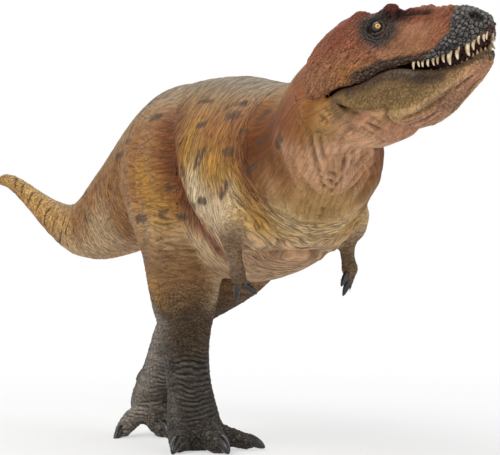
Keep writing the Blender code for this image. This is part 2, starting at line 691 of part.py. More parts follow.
def make_neck(spine, head, figure):
    """The neck bends from the chest to the head's own direction, and carries the jowls and the throat."""
    base, direction = spine.seam(1)
    start = base + direction * GAP
    matrix = head.matrix_basis
    rear = matrix @ Vector((HEAD_REAR_SHARE * HEAD_LENGTH, 0, HEAD_REAR_RISE_SHARE * HEAD_HEIGHT))
    forward = (matrix.to_3x3() @ Vector((1, 0, 0))).normalized()
    head_up = matrix.to_3x3() @ Vector((0, 0, 1))
    reach = (rear - start).length * NECK_BEND_SHARE
    chest = spine.sections[-1]
    outline = skull_point(HEAD_REAR_SHARE)
    middle = HEAD_REAR_RISE_SHARE * HEAD_HEIGHT
    end_width = outline["cheek"].x * NECK_END_WIDTH_SHARE
    tail = np.array((outline["ridge"].y - middle, NECK_END_DEPTH + middle, end_width))
    rings = []
    for k in range(NECK_RINGS):
        t = k / (NECK_RINGS - 1)
        point = (
            (1 + 2 * t) * (1 - t) ** 2 * start
            + t * (1 - t) ** 2 * reach * direction
            + t * t * (3 - 2 * t) * rear
            - t * t * (1 - t) * reach * forward
        )
        along = (
            6 * t * (t - 1) * (start - rear)
            + (1 - t) * (1 - 3 * t) * reach * direction
            + t * (3 * t - 2) * reach * forward
        )
        up = Vector((0, 0, 1)).lerp(head_up, t)
        side, upward = frame_of(along, up)
        ease = t * t * (3 - 2 * t)
        above, below, half_width = chest[3:6] * (1 - ease) + tail * ease
        waist = 1 - NECK_WAIST_SHARE * math.sin(math.pi * t)
        above *= 1 - NAPE_HOLLOW_SHARE * math.sin(math.pi * t)
        below *= 1 - THROAT_HOLLOW_SHARE * math.sin(math.pi * t)
        squares = chest[6:8] * (1 - ease) + NECK_FULLNESS * ease
        rings.append(egg(point, side, upward, half_width * waist, above, below, *squares, BODY_SIDES))
    neck = solid("neck", rings, figure)
    combine(neck, "UNION", [make_jowls(head), make_throat(head)])
    combine(neck, "DIFFERENCE", [pin_shape("pin_hole", JAW_PIN_RADIUS + JAW_PIN_PLAY, HEAD_WIDTH, head)])
    return neck


def jaw_ring(place):
    """A section of the jaw: a nearly flat top with full lips, and a rounder underside."""
    place_share, side, top, bottom, square = between(JAW_SHARES, place)
    depth = (top - bottom) * JAW_DEPTH
    above = min(JAW_LIP_DEPTH, depth / 2)
    centre = (place_share * HEAD_LENGTH, 0, top * JAW_DEPTH - above)
    sizes = (side * HEAD_WIDTH / 2, above, depth - above)
    return egg(centre, (0, -1, 0), (0, 0, 1), *sizes, JAW_LIP_FULLNESS, square, JAW_SIDES)


def jaw_top(share):
    """The height of the jaw's rim and half its width there."""
    _, side, top, _, _ = between(JAW_SHARES, share)
    return top * JAW_DEPTH, side * HEAD_WIDTH / 2


def mouth_floor(share):
    """How far the trough's floor lies below the jaw's rim."""
    start, end = MOUTH_SHARES
    t = (share - start) / (end - start)
    return MOUTH_DEPTH * math.sin(math.pi * min(max(t, MOUTH_END_SHARE), 1 - MOUTH_END_SHARE))


def make_lower_jaw(hinge):
    rings = [jaw_ring(share) for share in steps_of(JAW_SHARES, HEAD_RINGS_PER_SPAN)]
    jaw = solid("lower_jaw", rings, hinge)
    start, end = MOUTH_SHARES
    trough = []
    for k in range(MOUTH_RINGS + 1):
        share = start + (end - start) * k / MOUTH_RINGS
        top, half_width = jaw_top(share)
        width = half_width - JAW_RIM - GUM_WIDTH
        centre = (share * HEAD_LENGTH, 0, top + MOUTH_DEPTH)
        deep = MOUTH_DEPTH + mouth_floor(share)
        square = MOUTH_FULLNESS
        trough.append(egg(centre, (0, -1, 0), (0, 0, 1), width, deep, deep, square, square, JAW_SIDES))
    combine(jaw, "DIFFERENCE", [solid("trough", trough, hinge)])
    clearance = pin_shape("drum", THROAT_RADIUS + GAP, THROAT_WIDTH + 2 * GAP, hinge)
    combine(jaw, "DIFFERENCE", [clearance])
    holes = pin_shape("pin_hole", JAW_PIN_RADIUS + JAW_PIN_PLAY, pin_length() + 2 * GAP, hinge)
    combine(jaw, "DIFFERENCE", [holes])
    return jaw


def make_tongue(hinge):
    start = TONGUE_START_SHARE * HEAD_LENGTH
    rings = []
    for k in range(TONGUE_RINGS + 1):
        t = k / TONGUE_RINGS
        place = start + TONGUE_LENGTH * t
        share = place / HEAD_LENGTH
        top, _ = jaw_top(share)
        width = TONGUE_WIDTH / 2 * (1 - TONGUE_TAPER_SHARE * t**3)
        thick = TONGUE_THICKNESS / 2 * (1 - TONGUE_THINNING_SHARE * t**2)
        centre = (place, 0, top - mouth_floor(share) + thick + TONGUE_CLEARANCE)
        square = TONGUE_FULLNESS
        rings.append(egg(centre, (0, -1, 0), (0, 0, 1), width, thick, thick, square, square, JAW_SIDES // 2))
    return solid("tongue", rings, hinge)


def tooth(name, root, tip, width, parent, lean):
    """A tapering tooth, a little curved towards its lean."""
    root, tip = Vector(root), Vector(tip)
    lean = Vector(lean)
    points, widths = [], []
    for k in range(TOOTH_RINGS + 1):
        t = k / TOOTH_RINGS
        points.append(root.lerp(tip, t) + lean * (width * math.sin(math.pi * t) * TOOTH_BEND_SHARE))
        widths.append(width * (1 - TOOTH_TAPER_SHARE * t**TOOTH_TAPER_POWER))
    return solid(name, tube_rings(points, widths, TOOTH_SIDES, (1, 0, 0)), parent)


def row_points(row_shares, count, place_of):
    """Places of the teeth along one side, evenly spread by distance along the row."""
    start, end = row_shares
    fine = [place_of(start + (end - start) * k / ROW_STEPS) for k in range(ROW_STEPS + 1)]
    lengths = [0.0]
    for near, far in zip(fine, fine[1:]):
        lengths.append(lengths[-1] + (far - near).length)
    places = []
    for k in range(count):
        target = lengths[-1] * k / (count - 1)
        places.append(Vector([np.interp(target, lengths, [p[i] for p in fine]) for i in range(3)]))
    return places


def arch(name, row_shares, place_of, parent):
    """A gum strip: along one side, round the front and back along the other."""
    start, end = row_shares
    count = ARCH_STEPS
    one = [place_of(start + (end - start) * k / count) for k in range(count + 1)]
    other = [Vector((p.x, -p.y, p.z)) for p in one[::-1]]
    path = one + other
    sizes = (GUM_WIDTH / 2, GUM_DEPTH / 2, GUM_DEPTH / 2)
    rings = []
    for i, point in enumerate(path):
        direction = path[min(i + 1, len(path) - 1)] - path[max(i - 1, 0)]
        side, up = frame_of(direction, (0, 0, 1))
        rings.append(egg(point, side, up, *sizes, GUM_FULLNESS, GUM_FULLNESS, TOOTH_SIDES))
    return solid(name, rings, parent)


def upper_row(share):
    outline = skull_point(share)
    inner, roof = lip_inside(outline)
    height = outline["lip"].y + roof - GAP - GUM_DEPTH / 2
    return Vector((outline["place"], inner - GAP - GUM_WIDTH / 2, height))


def lower_row(share):
    top, half_width = jaw_top(share)
    return Vector((share * HEAD_LENGTH, half_width - JAW_RIM - GUM_WIDTH / 2, top + GAP + GUM_DEPTH / 2))


def make_teeth(name, row_shares, place_of, count, shares, sense, splay, parent):
    """A gum strip and its teeth as one piece; sense is -1 for teeth that point down."""
    piece = arch(name, row_shares, place_of, parent)
    teeth = []
    for point, share in zip(row_points(row_shares, count, place_of), shares):
        for sign in (-1, 1):
            root = Vector((point.x, sign * point.y, point.z))
            tip = root + Vector((0, sign * splay, sense)) * TOOTH_LENGTH * share
            width = TOOTH_WIDTH * (SHORTEST_TOOTH_WIDTH_SHARE + TOOTH_WIDTH_GAIN_SHARE * share)
            teeth.append(tooth("tooth", root, tip, width, parent, (-1, 0, 0)))
    combine(piece, "UNION", teeth)
    return piece


def leg_rings(rows):
    rows = [(i, *row) for i, row in enumerate(rows)]
    rings = []
    for place in steps_of(rows, LEG_RINGS_PER_SPAN):
        _, fore, side, height, half_fore, half_side, lean = between(rows, place)
        lean = math.radians(lean)
        centre = (fore * HIP_HEIGHT, side * BODY_WIDTH, height * HIP_HEIGHT)
        forward = (math.cos(lean), 0, -math.sin(lean))
        depth = half_fore * THIGH_DEPTH
        sizes = (half_side * THIGH_WIDTH, depth, depth)
        rings.append(egg(centre, (0, 1, 0), forward, *sizes, LEG_FULLNESS, LEG_FULLNESS, LEG_SIDES))
    return rings


def claw(root, direction, length, width, parent, drop):
    """A curved claw from its root, drooping by drop at its tip."""
    direction = Vector(direction).normalized()
    points, widths = [], []
    for k in range(CLAW_STEPS + 1):
        t = k / CLAW_STEPS
        points.append(Vector(root) + direction * (length * t) + Vector((0, 0, -drop * t * t)))
        widths.append(width * (1 - CLAW_TAPER_SHARE * t**CLAW_TAPER_POWER))
    return solid("claw", tube_rings(points, widths, CLAW_SIDES), parent)


def toe_solids(ball_shares, toes_shares, figure):
    """The toes of a foot with their claws."""
    ball = Vector((ball_shares[0] * HIP_HEIGHT, ball_shares[1] * BODY_WIDTH, ball_shares[2] * HIP_HEIGHT))
    ground = Vector((ball.x, ball.y, 0))
    shapes = []
    for knuckle, tip, thick in toes_shares.values():
        thickness = TOE_THICKNESS * thick
        middle = ground + Vector(knuckle) * FOOT_LENGTH
        end = ground + Vector(tip) * FOOT_LENGTH
        places = (ball.lerp(middle, TOE_ROOT_SHARE), middle, middle.lerp(end, 0.5), end)
        rows = [(share, *place, size) for (share, size), place in zip(TOE_PROFILE_SHARES, places)]
        stations = [between(rows, 2 * k / TOE_STEPS) for k in range(TOE_STEPS + 1)]
        points = [row[1:4] for row in stations]
        widths = [row[4] * thickness for row in stations]
        direction = (end - middle).normalized()
        ahead, narrow = TOE_END_SHARES
        points.append(end + direction * thickness * ahead)
        widths.append(thickness * narrow)
        shapes.append(solid("toe", tube_rings(points, widths, TOE_SIDES), figure))
        wide, rise, drop = (thickness * share for share in CLAW_ROOT_SHARES)
        root = end + Vector((0, 0, rise))
        shapes.append(claw(root, direction, CLAW_LENGTH, wide, figure, drop))
    return shapes


def make_leg(name, rows, ball_shares, toes_shares, spur_shares, spine, figure):
    leg = solid(name, leg_rings(rows), figure)
    shapes = toe_solids(ball_shares, toes_shares, figure)
    sign = 1 if rows[0][1] > 0 else -1
    spur = Vector((spur_shares[0] * HIP_HEIGHT, spur_shares[1] * BODY_WIDTH, spur_shares[2] * HIP_HEIGHT))
    back, inward, down = SPUR_DIRECTION_SHARES
    drop = SPUR_THICKNESS * SPUR_DROP_SHARE
    shapes.append(claw(spur, (back, inward * sign, down), SPUR_LENGTH, SPUR_THICKNESS, figure, drop))
    combine(leg, "UNION", shapes)
    body = solid("body_space", spine.rings(LEG_CUT_SHARE, 1, GAP), figure)
    floor = box("floor", -2 * HIP_HEIGHT, 0, figure)
    combine(leg, "DIFFERENCE", [body])
    combine(leg, "DIFFERENCE", [floor])
    return leg


def box(name, bottom, top, parent):
    """A wide slab between two heights."""
    reach = TAIL_LENGTH + TRUNK_LENGTH
    corners = ((-reach, -reach), (reach, -reach), (reach, reach), (-reach, reach))
    return solid(name, [[Vector((x, y, z)) for x, y in corners] for z in (bottom, top)], parent)


def make_arm(name, sign, spine, figure):
    shoulder = shoulder_place(sign)
    length = ARM_LENGTH * (LEFT_ARM_SHARE if sign > 0 else 1)
    rows = []
    for i, (fore, out, drop, thick) in enumerate(ARM_SHARES):
        point = shoulder + Vector((fore, sign * out, drop)) * length
        rows.append((i, *point, thick * ARM_THICKNESS))
    stations = [between(rows, place) for place in steps_of(rows, ARM_RINGS_PER_SPAN)]
    points, widths = [row[1:4] for row in stations], [row[4] for row in stations]
    arm = solid(name, tube_rings(points, widths, ARM_SIDES, (1, 0, 0)), figure)
    wrist = Vector(rows[-1][1:4])
    shapes = []
    for bend, tip in FINGERS_SHARES:
        joint = wrist + Vector((bend[0], sign * bend[1], bend[2])) * FINGER_LENGTH / 2
        end = wrist + Vector((tip[0], sign * tip[1], tip[2])) * FINGER_LENGTH / 2
        widths = [FINGER_THICKNESS * share for share in FINGER_WIDTH_SHARES]
        rings = tube_rings([wrist, joint, end], widths, FINGER_SIDES, (1, 0, 0))
        shapes.append(solid("finger", rings, figure))
        point = end + (end - joint).normalized() * FINGER_LENGTH * FINGER_CLAW_SHARE
        middle = end.lerp(point, 0.5) + Vector((GAP, 0, 0))
        root = end.lerp(joint, FINGER_CLAW_ROOT_SHARE)
        widths = [FINGER_THICKNESS * share for share in FINGER_CLAW_WIDTH_SHARES]
        rings = tube_rings([root, middle, point], widths, FINGER_SIDES, (1, 0, 0))
        shapes.append(solid("claw", rings, figure))
    combine(arm, "UNION", shapes)
    combine(arm, "DIFFERENCE", [solid("body_space", spine.rings(0, 1, GAP), figure)])
    return arm


def shoulder_place(sign):
    fore, out, rise = SHOULDER_SHARES
    return Vector((fore * TRUNK_LENGTH, sign * out * BODY_WIDTH / 2, HIP_HEIGHT + rise * BODY_DEPTH))


def main():
    for thing in list(bpy.data.objects):
        bpy.data.objects.remove(thing)
    spine = Spine()
    figure = empty("figure")
    head = empty("head_frame", figure, head_matrix(spine))
    hinge = empty("jaw_hinge", head)

    torso = solid("torso", spine.rings(TAIL_SEAM_SHARE, 1, lead=GAP), figure)
    tail_root = solid("tail_root", spine.rings(TAIL_MIDDLE_SHARE, TAIL_SEAM_SHARE, lead=GAP), figure)
    tail_tip = solid("tail_tip", spine.rings(-1, TAIL_MIDDLE_SHARE), figure)
    neck = make_neck(spine, head, figure)
    skull = make_skull(head)
    pieces = [torso, tail_root, tail_tip, neck, skull]

    for male, female, share, radius in (
        (tail_root, torso, TAIL_SEAM_SHARE, BODY_PEG_RADIUS),
        (tail_tip, tail_root, TAIL_MIDDLE_SHARE, TAIL_PEG_RADIUS),
    ):
        start, direction = spine.seam(share)
        peg_and_socket(male, female, start, direction, radius, BODY_PEG_LENGTH, figure)
    start, direction = spine.seam(1)
    peg_and_socket(neck, torso, start, -direction, BODY_PEG_RADIUS, BODY_PEG_LENGTH, figure)
    plug = Vector((HEAD_REAR_SHARE * HEAD_LENGTH, 0, SKULL_PLUG_RISE))
    peg_and_socket(skull, neck, plug, (-1, 0, 0), SKULL_PLUG_RADIUS, SKULL_PLUG_LENGTH, head)

    for name, rows, ball_shares, toes, spur in (
        ("right_leg", RIGHT_LEG_SHARES, RIGHT_BALL_SHARES, RIGHT_TOES_SHARES, RIGHT_SPUR_SHARES),
        ("left_leg", LEFT_LEG_SHARES, LEFT_BALL_SHARES, LEFT_TOES_SHARES, LEFT_SPUR_SHARES),
    ):
        leg = make_leg(name, rows, ball_shares, toes, spur, spine, figure)
        sign = 1 if rows[0][1] > 0 else -1
        fore, out, height = HIP_PEG_SHARES
        start = Vector((fore * THIGH_DEPTH, sign * out * BODY_WIDTH, height * HIP_HEIGHT))
        peg_and_socket(leg, torso, start, (0, -sign, 0), HIP_PEG_RADIUS, HIP_PEG_LENGTH, figure)
        pieces.append(leg)
    for name, sign in (("right_arm", -1), ("left_arm", 1)):
        arm = make_arm(name, sign, spine, figure)
        fore, out, rise = SHOULDER_PEG_SHARES
        start = shoulder_place(sign) + Vector((fore * ARM_LENGTH, sign * out * ARM_LENGTH, rise * ARM_LENGTH))
        peg_and_socket(arm, torso, start, (0, -sign, 0), SHOULDER_PEG_RADIUS, SHOULDER_PEG_LENGTH, figure)
        pieces.append(arm)

    jaw = make_lower_jaw(hinge)
    pin = pin_shape("jaw_pin", JAW_PIN_RADIUS, pin_length(), head)
    upper = make_teeth(
        "upper_teeth",
        UPPER_ROW_SHARES,
        upper_row,
        UPPER_TOOTH_PAIRS,
        UPPER_TOOTH_SHARES,
        -1,
        UPPER_TOOTH_SPLAY_SHARE,
        head,
    )
    lower = make_teeth(
        "lower_teeth", LOWER_ROW_SHARES, lower_row, LOWER_TOOTH_PAIRS, LOWER_TOOTH_SHARES, 1, 0, hinge
    )
    pieces += [jaw, pin, upper, lower, make_tongue(hinge), *make_eyes(head)]
    for piece in pieces:
        dressed(piece)

    bpy.context.view_layer.update()
    corners = np.array([piece.matrix_world @ vertex.co for piece in pieces for vertex in piece.data.vertices])
    low, high = corners.min(axis=0), corners.max(axis=0)
    middle = (low + high) / 2
    figure.location = (-middle[0], -middle[1], -low[2])


main()
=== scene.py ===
"""A walking tyrannosaur toy figure in painted vinyl, with sculpted skin, teeth, eyes and claws."""

import json
import math

import bmesh
import bpy
import numpy as np
from mathutils import Matrix, Vector
from mathutils.bvhtree import BVHTree


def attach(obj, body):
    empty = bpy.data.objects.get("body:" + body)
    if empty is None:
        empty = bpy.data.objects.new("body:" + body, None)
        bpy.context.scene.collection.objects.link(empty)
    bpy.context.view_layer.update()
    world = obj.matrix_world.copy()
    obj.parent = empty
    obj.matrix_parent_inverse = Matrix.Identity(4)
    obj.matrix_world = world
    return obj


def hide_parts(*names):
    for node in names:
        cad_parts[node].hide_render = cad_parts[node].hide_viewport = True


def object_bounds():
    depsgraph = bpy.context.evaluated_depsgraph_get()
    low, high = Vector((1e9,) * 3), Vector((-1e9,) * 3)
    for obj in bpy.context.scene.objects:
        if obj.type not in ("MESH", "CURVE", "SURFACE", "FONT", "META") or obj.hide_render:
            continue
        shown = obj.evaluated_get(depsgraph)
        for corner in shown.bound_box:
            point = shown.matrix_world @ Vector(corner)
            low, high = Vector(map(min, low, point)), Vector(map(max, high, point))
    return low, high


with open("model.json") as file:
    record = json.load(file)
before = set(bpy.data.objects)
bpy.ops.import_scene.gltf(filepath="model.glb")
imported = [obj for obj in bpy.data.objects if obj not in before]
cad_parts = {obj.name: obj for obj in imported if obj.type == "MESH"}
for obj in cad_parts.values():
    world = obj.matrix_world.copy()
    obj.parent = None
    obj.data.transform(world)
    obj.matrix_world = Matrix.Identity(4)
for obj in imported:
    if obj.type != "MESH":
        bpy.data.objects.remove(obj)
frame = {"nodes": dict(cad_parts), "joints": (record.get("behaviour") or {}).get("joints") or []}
CAD_BOX = [list(corner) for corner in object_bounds()]

MM = 0.001
HINGE = np.array(frame["joints"][0]["pos_m"])

# The head's own frame: forward, left and up in its columns, with its origin on the jaw's hinge line
HEAD_TURN = (
    Matrix.Rotation(math.radians(30), 3, "Z")
    @ Matrix.Rotation(math.radians(-16), 3, "Y")
    @ Matrix.Rotation(math.radians(-6.5), 3, "X")
)
HEAD = np.array(HEAD_TURN)
# The point between the hips on the floor, from which the trunk and the legs are measured
HIP = HINGE - np.array((122.30, 0.53, 99.52)) * MM

# The photograph's view: a low camera at the animal's right front
PHOTO_WIDTH, PHOTO_HEIGHT = 500, 455
CAMERA = HIP + np.array((567.8, -194.2, 62.0)) * MM
CAMERA_AZIMUTH = math.radians(70)
CAMERA_PITCH = math.radians(0.7)
LENS, SENSOR = 136.8, 36.0
# Distances from the camera at which the figure stands, in millimetres
FIGURE_RANGE = range(480, 800, 8)

# Skin resolution, and how far the nodes are grown so that the remesh closes the gaps between them
BODY_VOXEL = 0.45 * MM
HEAD_VOXEL = 0.30 * MM
GROWTH = 0.22 * MM
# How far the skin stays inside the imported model's box
MARGIN = 0.02 * MM
# The least length that anything is divided by
TINY = 1e-15

# Rounds of smoothing that take the facets off, and the jaw's share in them
BODY_ROUNDS = 90
SHOULDER_ROUNDS = 60
JAW_ROUNDS = 20
JAW_SHARE = 0.35

# Rounds of blurring for the seams between nodes, and for each point's share in the nodes
SEAM_ROUNDS = 8
SHARE_ROUNDS = 12

# Relief in millimetres at which the dark paint and painted shade in the grooves are full, and how much of a
# mark's depth counts for it
BODY_WASH_AND_SHADE = 0.14
HEAD_WASH_AND_SHADE = 0.12
MARK_SHARE = 0.35
# How much dark paint and painted shade darken the grooves, how much the tops pale, rubbed and with painted
# highlights, and how much the colours gain
GROOVE_WASH_AND_SHADE = 0.46
TOP_RUB_AND_HIGHLIGHT = 0.17
COLOUR_GAIN = 1.04

RANDOM = np.random.default_rng(11)
LATTICE = np.tile(RANDOM.permutation(256), 2)
GRADIENTS = RANDOM.normal(size=(256, 3))
GRADIENTS /= np.linalg.norm(GRADIENTS, axis=1)[:, None]
SCATTER = RANDOM.random((256, 3))


def camera_turn():
    """The camera's rotation: it looks level but for its pitch, from the azimuth of the photograph."""
    return Matrix.Rotation(CAMERA_AZIMUTH, 4, "Z") @ Matrix.Rotation(math.pi / 2 + CAMERA_PITCH, 4, "X")


def add_object(name, data):
    """A new object in the scene."""
    thing = bpy.data.objects.new(name, data)
    bpy.context.scene.collection.objects.link(thing)
    return thing


def add_camera():
    """The photograph's camera."""
    data = bpy.data.cameras.new("photo_camera")
    data.lens, data.sensor_width = LENS, SENSOR
    data.clip_start = 0.01
    camera = add_object("photo_camera", data)
    camera.matrix_world = Matrix.Translation(Vector(CAMERA)) @ camera_turn()
    bpy.context.scene.camera = camera


def ray_to(pixel):
    """The direction from the camera to a pixel of the photograph."""
    focal = LENS / SENSOR * PHOTO_WIDTH
    x, y = pixel
    seen = Vector((x - PHOTO_WIDTH / 2, PHOTO_HEIGHT / 2 - y, -focal)).normalized()
    return camera_turn().to_3x3() @ seen


def smooth(low, high, values):
    """0 below low, 1 above high, smooth between; low may lie above high."""
    t = np.clip((np.asarray(values, float) - low) / (high - low), 0, 1)
    return t * t * (3 - 2 * t)


def noise(points, size, seed=0):
    """Gradient noise, about -1 to 1, with features of about a size, which may differ per axis."""
    q = points / np.asarray(size) + seed * 7.31
    cell = np.floor(q).astype(int)
    f = q - cell
    ease = f * f * f * (f * (f * 6 - 15) + 10)
    total = np.zeros(len(q))
    for corner in range(8):
        step = np.array([(corner >> k) & 1 for k in range(3)])
        at = (cell + step) & 255
        g = GRADIENTS[LATTICE[LATTICE[LATTICE[at[:, 0]] + at[:, 1]] + at[:, 2]]]
        share = np.prod(np.where(step, ease, 1 - ease), axis=1)
        total += share * ((f - step) * g).sum(axis=1)
    return total * 1.7


def layered(points, size, layers, seed):
    """Noise in layers, each half the size and half the strength of the one before."""
    size = np.asarray(size, float)
    return sum(noise(points, size / 2**k, seed + k) / 2**k for k in range(layers)) / 1.6


def creases(points, size, seed, sharpness=3.0):
    """Wrinkles: 0 on the skin between them, down to -1 in the lines where the noise is zero."""
    return -np.clip(1 - np.abs(layered(points, size, 2, seed)) * sharpness, 0, 1) ** 1.5


def cells(points, size, seed):
    """Distance to the nearest and the second nearest of scattered points, in cell sizes: scales."""
    q = points / np.asarray(size) + seed * 3.17
    base = np.floor(q).astype(int)
    near = np.full(len(q), 9.0)
    second = near.copy()
    for dx in (-1, 0, 1):
        for dy in (-1, 0, 1):
            for dz in (-1, 0, 1):
                cell = base + (dx, dy, dz)
                at = cell & 255
                spot = cell + SCATTER[LATTICE[LATTICE[LATTICE[at[:, 0]] + at[:, 1]] + at[:, 2]]]
                d = np.linalg.norm(q - spot, axis=1)
                second = np.minimum(second, np.maximum(near, d))
                near = np.minimum(near, d)
    return near, second


def scales(points, size, seed, low=0.0, high=0.3, sunk=0.6):
    """Scales: above zero on top of each, down to the sunk depth below zero in the gaps between them."""
    near, second = cells(points, size, seed)
    return smooth(low, high, second - near) - sunk


def hump(values, middle, width):
    """1 at the middle, falling away smoothly to both sides over the width."""
    return np.exp(-(((values - middle) / width) ** 2))


def sides(quads):
    """The four sides of each quad, as pairs of points in order."""
    return np.concatenate([quads[:, [k, (k + 1) % 4]] for k in range(4)])


class Skin:
    """A fine mesh of quads as arrays, with named values for each of its points."""

    def __init__(self, points, faces):
        self.points, self.faces = points, faces
        self.fields = {}
        self.seam = None
        self.connect()

    def connect(self):
        ends = np.sort(sides(self.faces), axis=1)
        self.edges, counts = np.unique(ends, axis=0, return_counts=True)
        self.open_edges = self.edges[counts == 1]
        self.degree = np.bincount(self.edges.ravel(), minlength=len(self.points)).astype(float)

    def keep_largest(self):
        """Drops the closed pockets that the remesh leaves between pegs and sockets."""
        group = np.arange(len(self.points))
        near, far = self.edges.T
        while True:
            before = group.copy()
            np.minimum.at(group, near, group[far])
            np.minimum.at(group, far, group[near])
            group = group[group]
            if (group == before).all():
                break
        kept = group == np.bincount(group).argmax()
        return self.part(kept[self.faces[:, 0]])

    def part(self, chosen):
        """The chosen faces as a skin of their own, with the whole skin's normals along its open edge."""
        used = np.unique(self.faces[chosen])
        index = np.full(len(self.points), -1)
        index[used] = np.arange(len(used))
        piece = Skin(self.points[used], index[self.faces[chosen]])
        piece.fields = {key: values[used] for key, values in self.fields.items()}
        if len(piece.open_edges):
            piece.seam = self.normals()[used]
        return piece

    def refined(self):
        """Each quad in four, with new points on its edges and in its middle."""
        count, quads = len(self.points), self.faces
        key = self.edges[:, 0] * count + self.edges[:, 1]
        middles = []
        for k in range(4):
            pair = np.sort(quads[:, [k, (k + 1) % 4]], axis=1)
            middles.append(count + np.searchsorted(key, pair[:, 0] * count + pair[:, 1]))
        centre = count + len(self.edges) + np.arange(len(quads))
        corners = [np.stack([quads[:, k], middles[k], centre, middles[k - 1]], axis=1) for k in range(4)]

        def grown(values):
            return np.concatenate([values, values[self.edges].mean(axis=1), values[quads].mean(axis=1)])

        fine = Skin(grown(self.points), np.concatenate(corners))
        fine.fields = {name: grown(values) for name, values in self.fields.items()}
        if self.seam is not None:
            fine.seam = grown(self.seam)
        return fine

    def averaged(self, values):
        """Each point's mean over its neighbours, column by column."""
        near, far = self.edges.T
        columns = values.reshape(len(values), -1)
        total = np.empty_like(columns)
        for k in range(columns.shape[1]):
            column = columns[:, k]
            total[:, k] = np.bincount(near, column[far], len(column))
            total[:, k] += np.bincount(far, column[near], len(column))
        return (total / self.degree[:, None]).reshape(values.shape)

    def blurred(self, values, rounds):
        for _ in range(rounds):
            values = self.averaged(values) * 0.6 + values * 0.4
        return values

    def relax(self, weight, rounds):
        """Smooths the skin, all but its open edge, by a weight for each point."""
        weight = np.broadcast_to(weight, len(self.points)).copy()
        weight[np.unique(self.open_edges)] = 0
        weight = weight[:, None] * 0.6
        for _ in range(rounds):
            self.points += (self.averaged(self.points) - self.points) * weight

    def normals(self):
        """Each point's direction out of the skin; along a seam, the whole skin's."""
        p = self.points[self.faces]
        face = np.cross(p[:, 2] - p[:, 0], p[:, 3] - p[:, 1])
        total = np.zeros_like(self.points)
        for corner in range(4):
            for k in range(3):
                total[:, k] += np.bincount(self.faces[:, corner], face[:, k], len(total))
        total /= np.maximum(np.linalg.norm(total, axis=1), TINY)[:, None]
        if self.seam is not None:
            rim = np.unique(self.open_edges)
            total[rim] = self.seam[rim]
        return total

    def swell(self, height):
        """Moves the skin out along its normals by a height in millimetres."""
        self.points += self.normals() * np.asarray(height).reshape(-1, 1) * MM

    def tree(self):
        return BVHTree.FromPolygons(self.points.tolist(), self.faces.tolist())


def node_triangles(name, growth):
    """A CAD node's points, joined where its faces meet and grown along their normals, and its triangles."""
    mesh = frame["nodes"][name].data
    co = np.empty(len(mesh.vertices) * 3)
    mesh.vertices.foreach_get("co", co)
    mesh.calc_loop_triangles()
    corners = np.empty(len(mesh.loop_triangles) * 3, int)
    mesh.loop_triangles.foreach_get("vertices", corners)
    rounded = np.round(co.reshape(-1, 3) / (0.001 * MM))
    _, first, index = np.unique(rounded, axis=0, return_index=True, return_inverse=True)
    co, corners = co.reshape(-1, 3)[first], index.reshape(-1)[corners].reshape(-1, 3)
    side = np.cross(co[corners[:, 1]] - co[corners[:, 0]], co[corners[:, 2]] - co[corners[:, 0]])
    normal = np.zeros_like(co)
    for k in range(3):
        np.add.at(normal, corners[:, k], side)
    normal /= np.maximum(np.linalg.norm(normal, axis=1), TINY)[:, None]
    return co + normal * growth, corners


def gathered(names, growth=0.0):
    """The points and triangles of several CAD nodes, and the number of the node that each triangle is of."""
    points, corners, owner = [], [], []
    count = 0
    for number, name in enumerate(names):
        co, triangles = node_triangles(name, growth)
        points.append(co)
        corners.append(triangles + count)
        owner.append(np.full(len(triangles), number))
        count += len(co)
    return np.concatenate(points), np.concatenate(corners), np.concatenate(owner)


def remeshed(names, voxel):
    """Copies of CAD nodes, grown a little and made one fine mesh of even quads."""
    points, corners, _ = gathered(names, GROWTH)
    mesh = bpy.data.meshes.new("skin")
    mesh.from_pydata(points, [], corners)
    holder = add_object("skin", mesh)
    modifier = holder.modifiers.new("remesh", "REMESH")
    modifier.mode = "VOXEL"
    modifier.voxel_size = voxel
    bpy.context.view_layer.update()
    fine = holder.evaluated_get(bpy.context.evaluated_depsgraph_get()).to_mesh()
    co = np.empty(len(fine.vertices) * 3)
    fine.vertices.foreach_get("co", co)
    loops = np.empty(len(fine.loops), int)
    fine.loops.foreach_get("vertex_index", loops)
    result = Skin(co.reshape(-1, 3).copy(), loops.reshape(-1, 4).copy()).keep_largest()
    bpy.data.objects.remove(holder)
    bpy.data.meshes.remove(mesh)
    return result


# The animal's axis from the tail's tip to the snout: place in millimetres from HIP, and half the body's depth
AXIS = np.array(
    (
        (-181.5, -28.3, 90, 1.2),
        (-173.6, -26.8, 90, 2.8),
        (-161.8, -23.6, 86, 3.6),
        (-146, -19.2, 78.5, 5.1),
        (-128.2, -13.8, 71.5, 8),
        (-108.5, -9.5, 70.5, 12.2),
        (-88.8, -6, 75.5, 16.1),
        (-69, -3.5, 81.5, 19.5),
        (-49.3, -1.5, 84.8, 21.8),
        (-29.6, -0.4, 88.2, 22.7),
        (-10, 0, 91.2, 25.2),
        (10, 0, 87, 29.4),
        (30, 0, 83.7, 31.2),
        (50, 0, 82.6, 29.4),
        (70, 0, 84.5, 25.5),
        (86, -0.3, 89.4, 20.6),
        (100, -2.2, 96, 17),
        (114, -4.2, 104, 14),
        (130, 4.5, 110, 12),
        (145, 13, 114, 9),
        (156, 19.5, 117, 6),
    )
)
AXIS_STEPS = np.linalg.norm(np.diff(AXIS[:, :3], axis=0), axis=1)
AXIS_LENGTHS = np.concatenate([[0], np.cumsum(AXIS_STEPS)])


def hip_place(points):
    """Millimetres ahead of the hips, to the left of them and above the floor."""
    return (points - HIP) / MM


def head_place(points):
    """Millimetres along the head, to its left and above the hinge line."""
    return (points - HINGE) @ HEAD / MM


def from_head(place):
    """The point at a place in the head's frame."""
    return HINGE + HEAD @ (np.array(place) * MM)


def on_side(places, sign):
    """Head places on the animal's left as they are, or mirrored to its right."""
    return np.array(places) * (1, sign, 1)


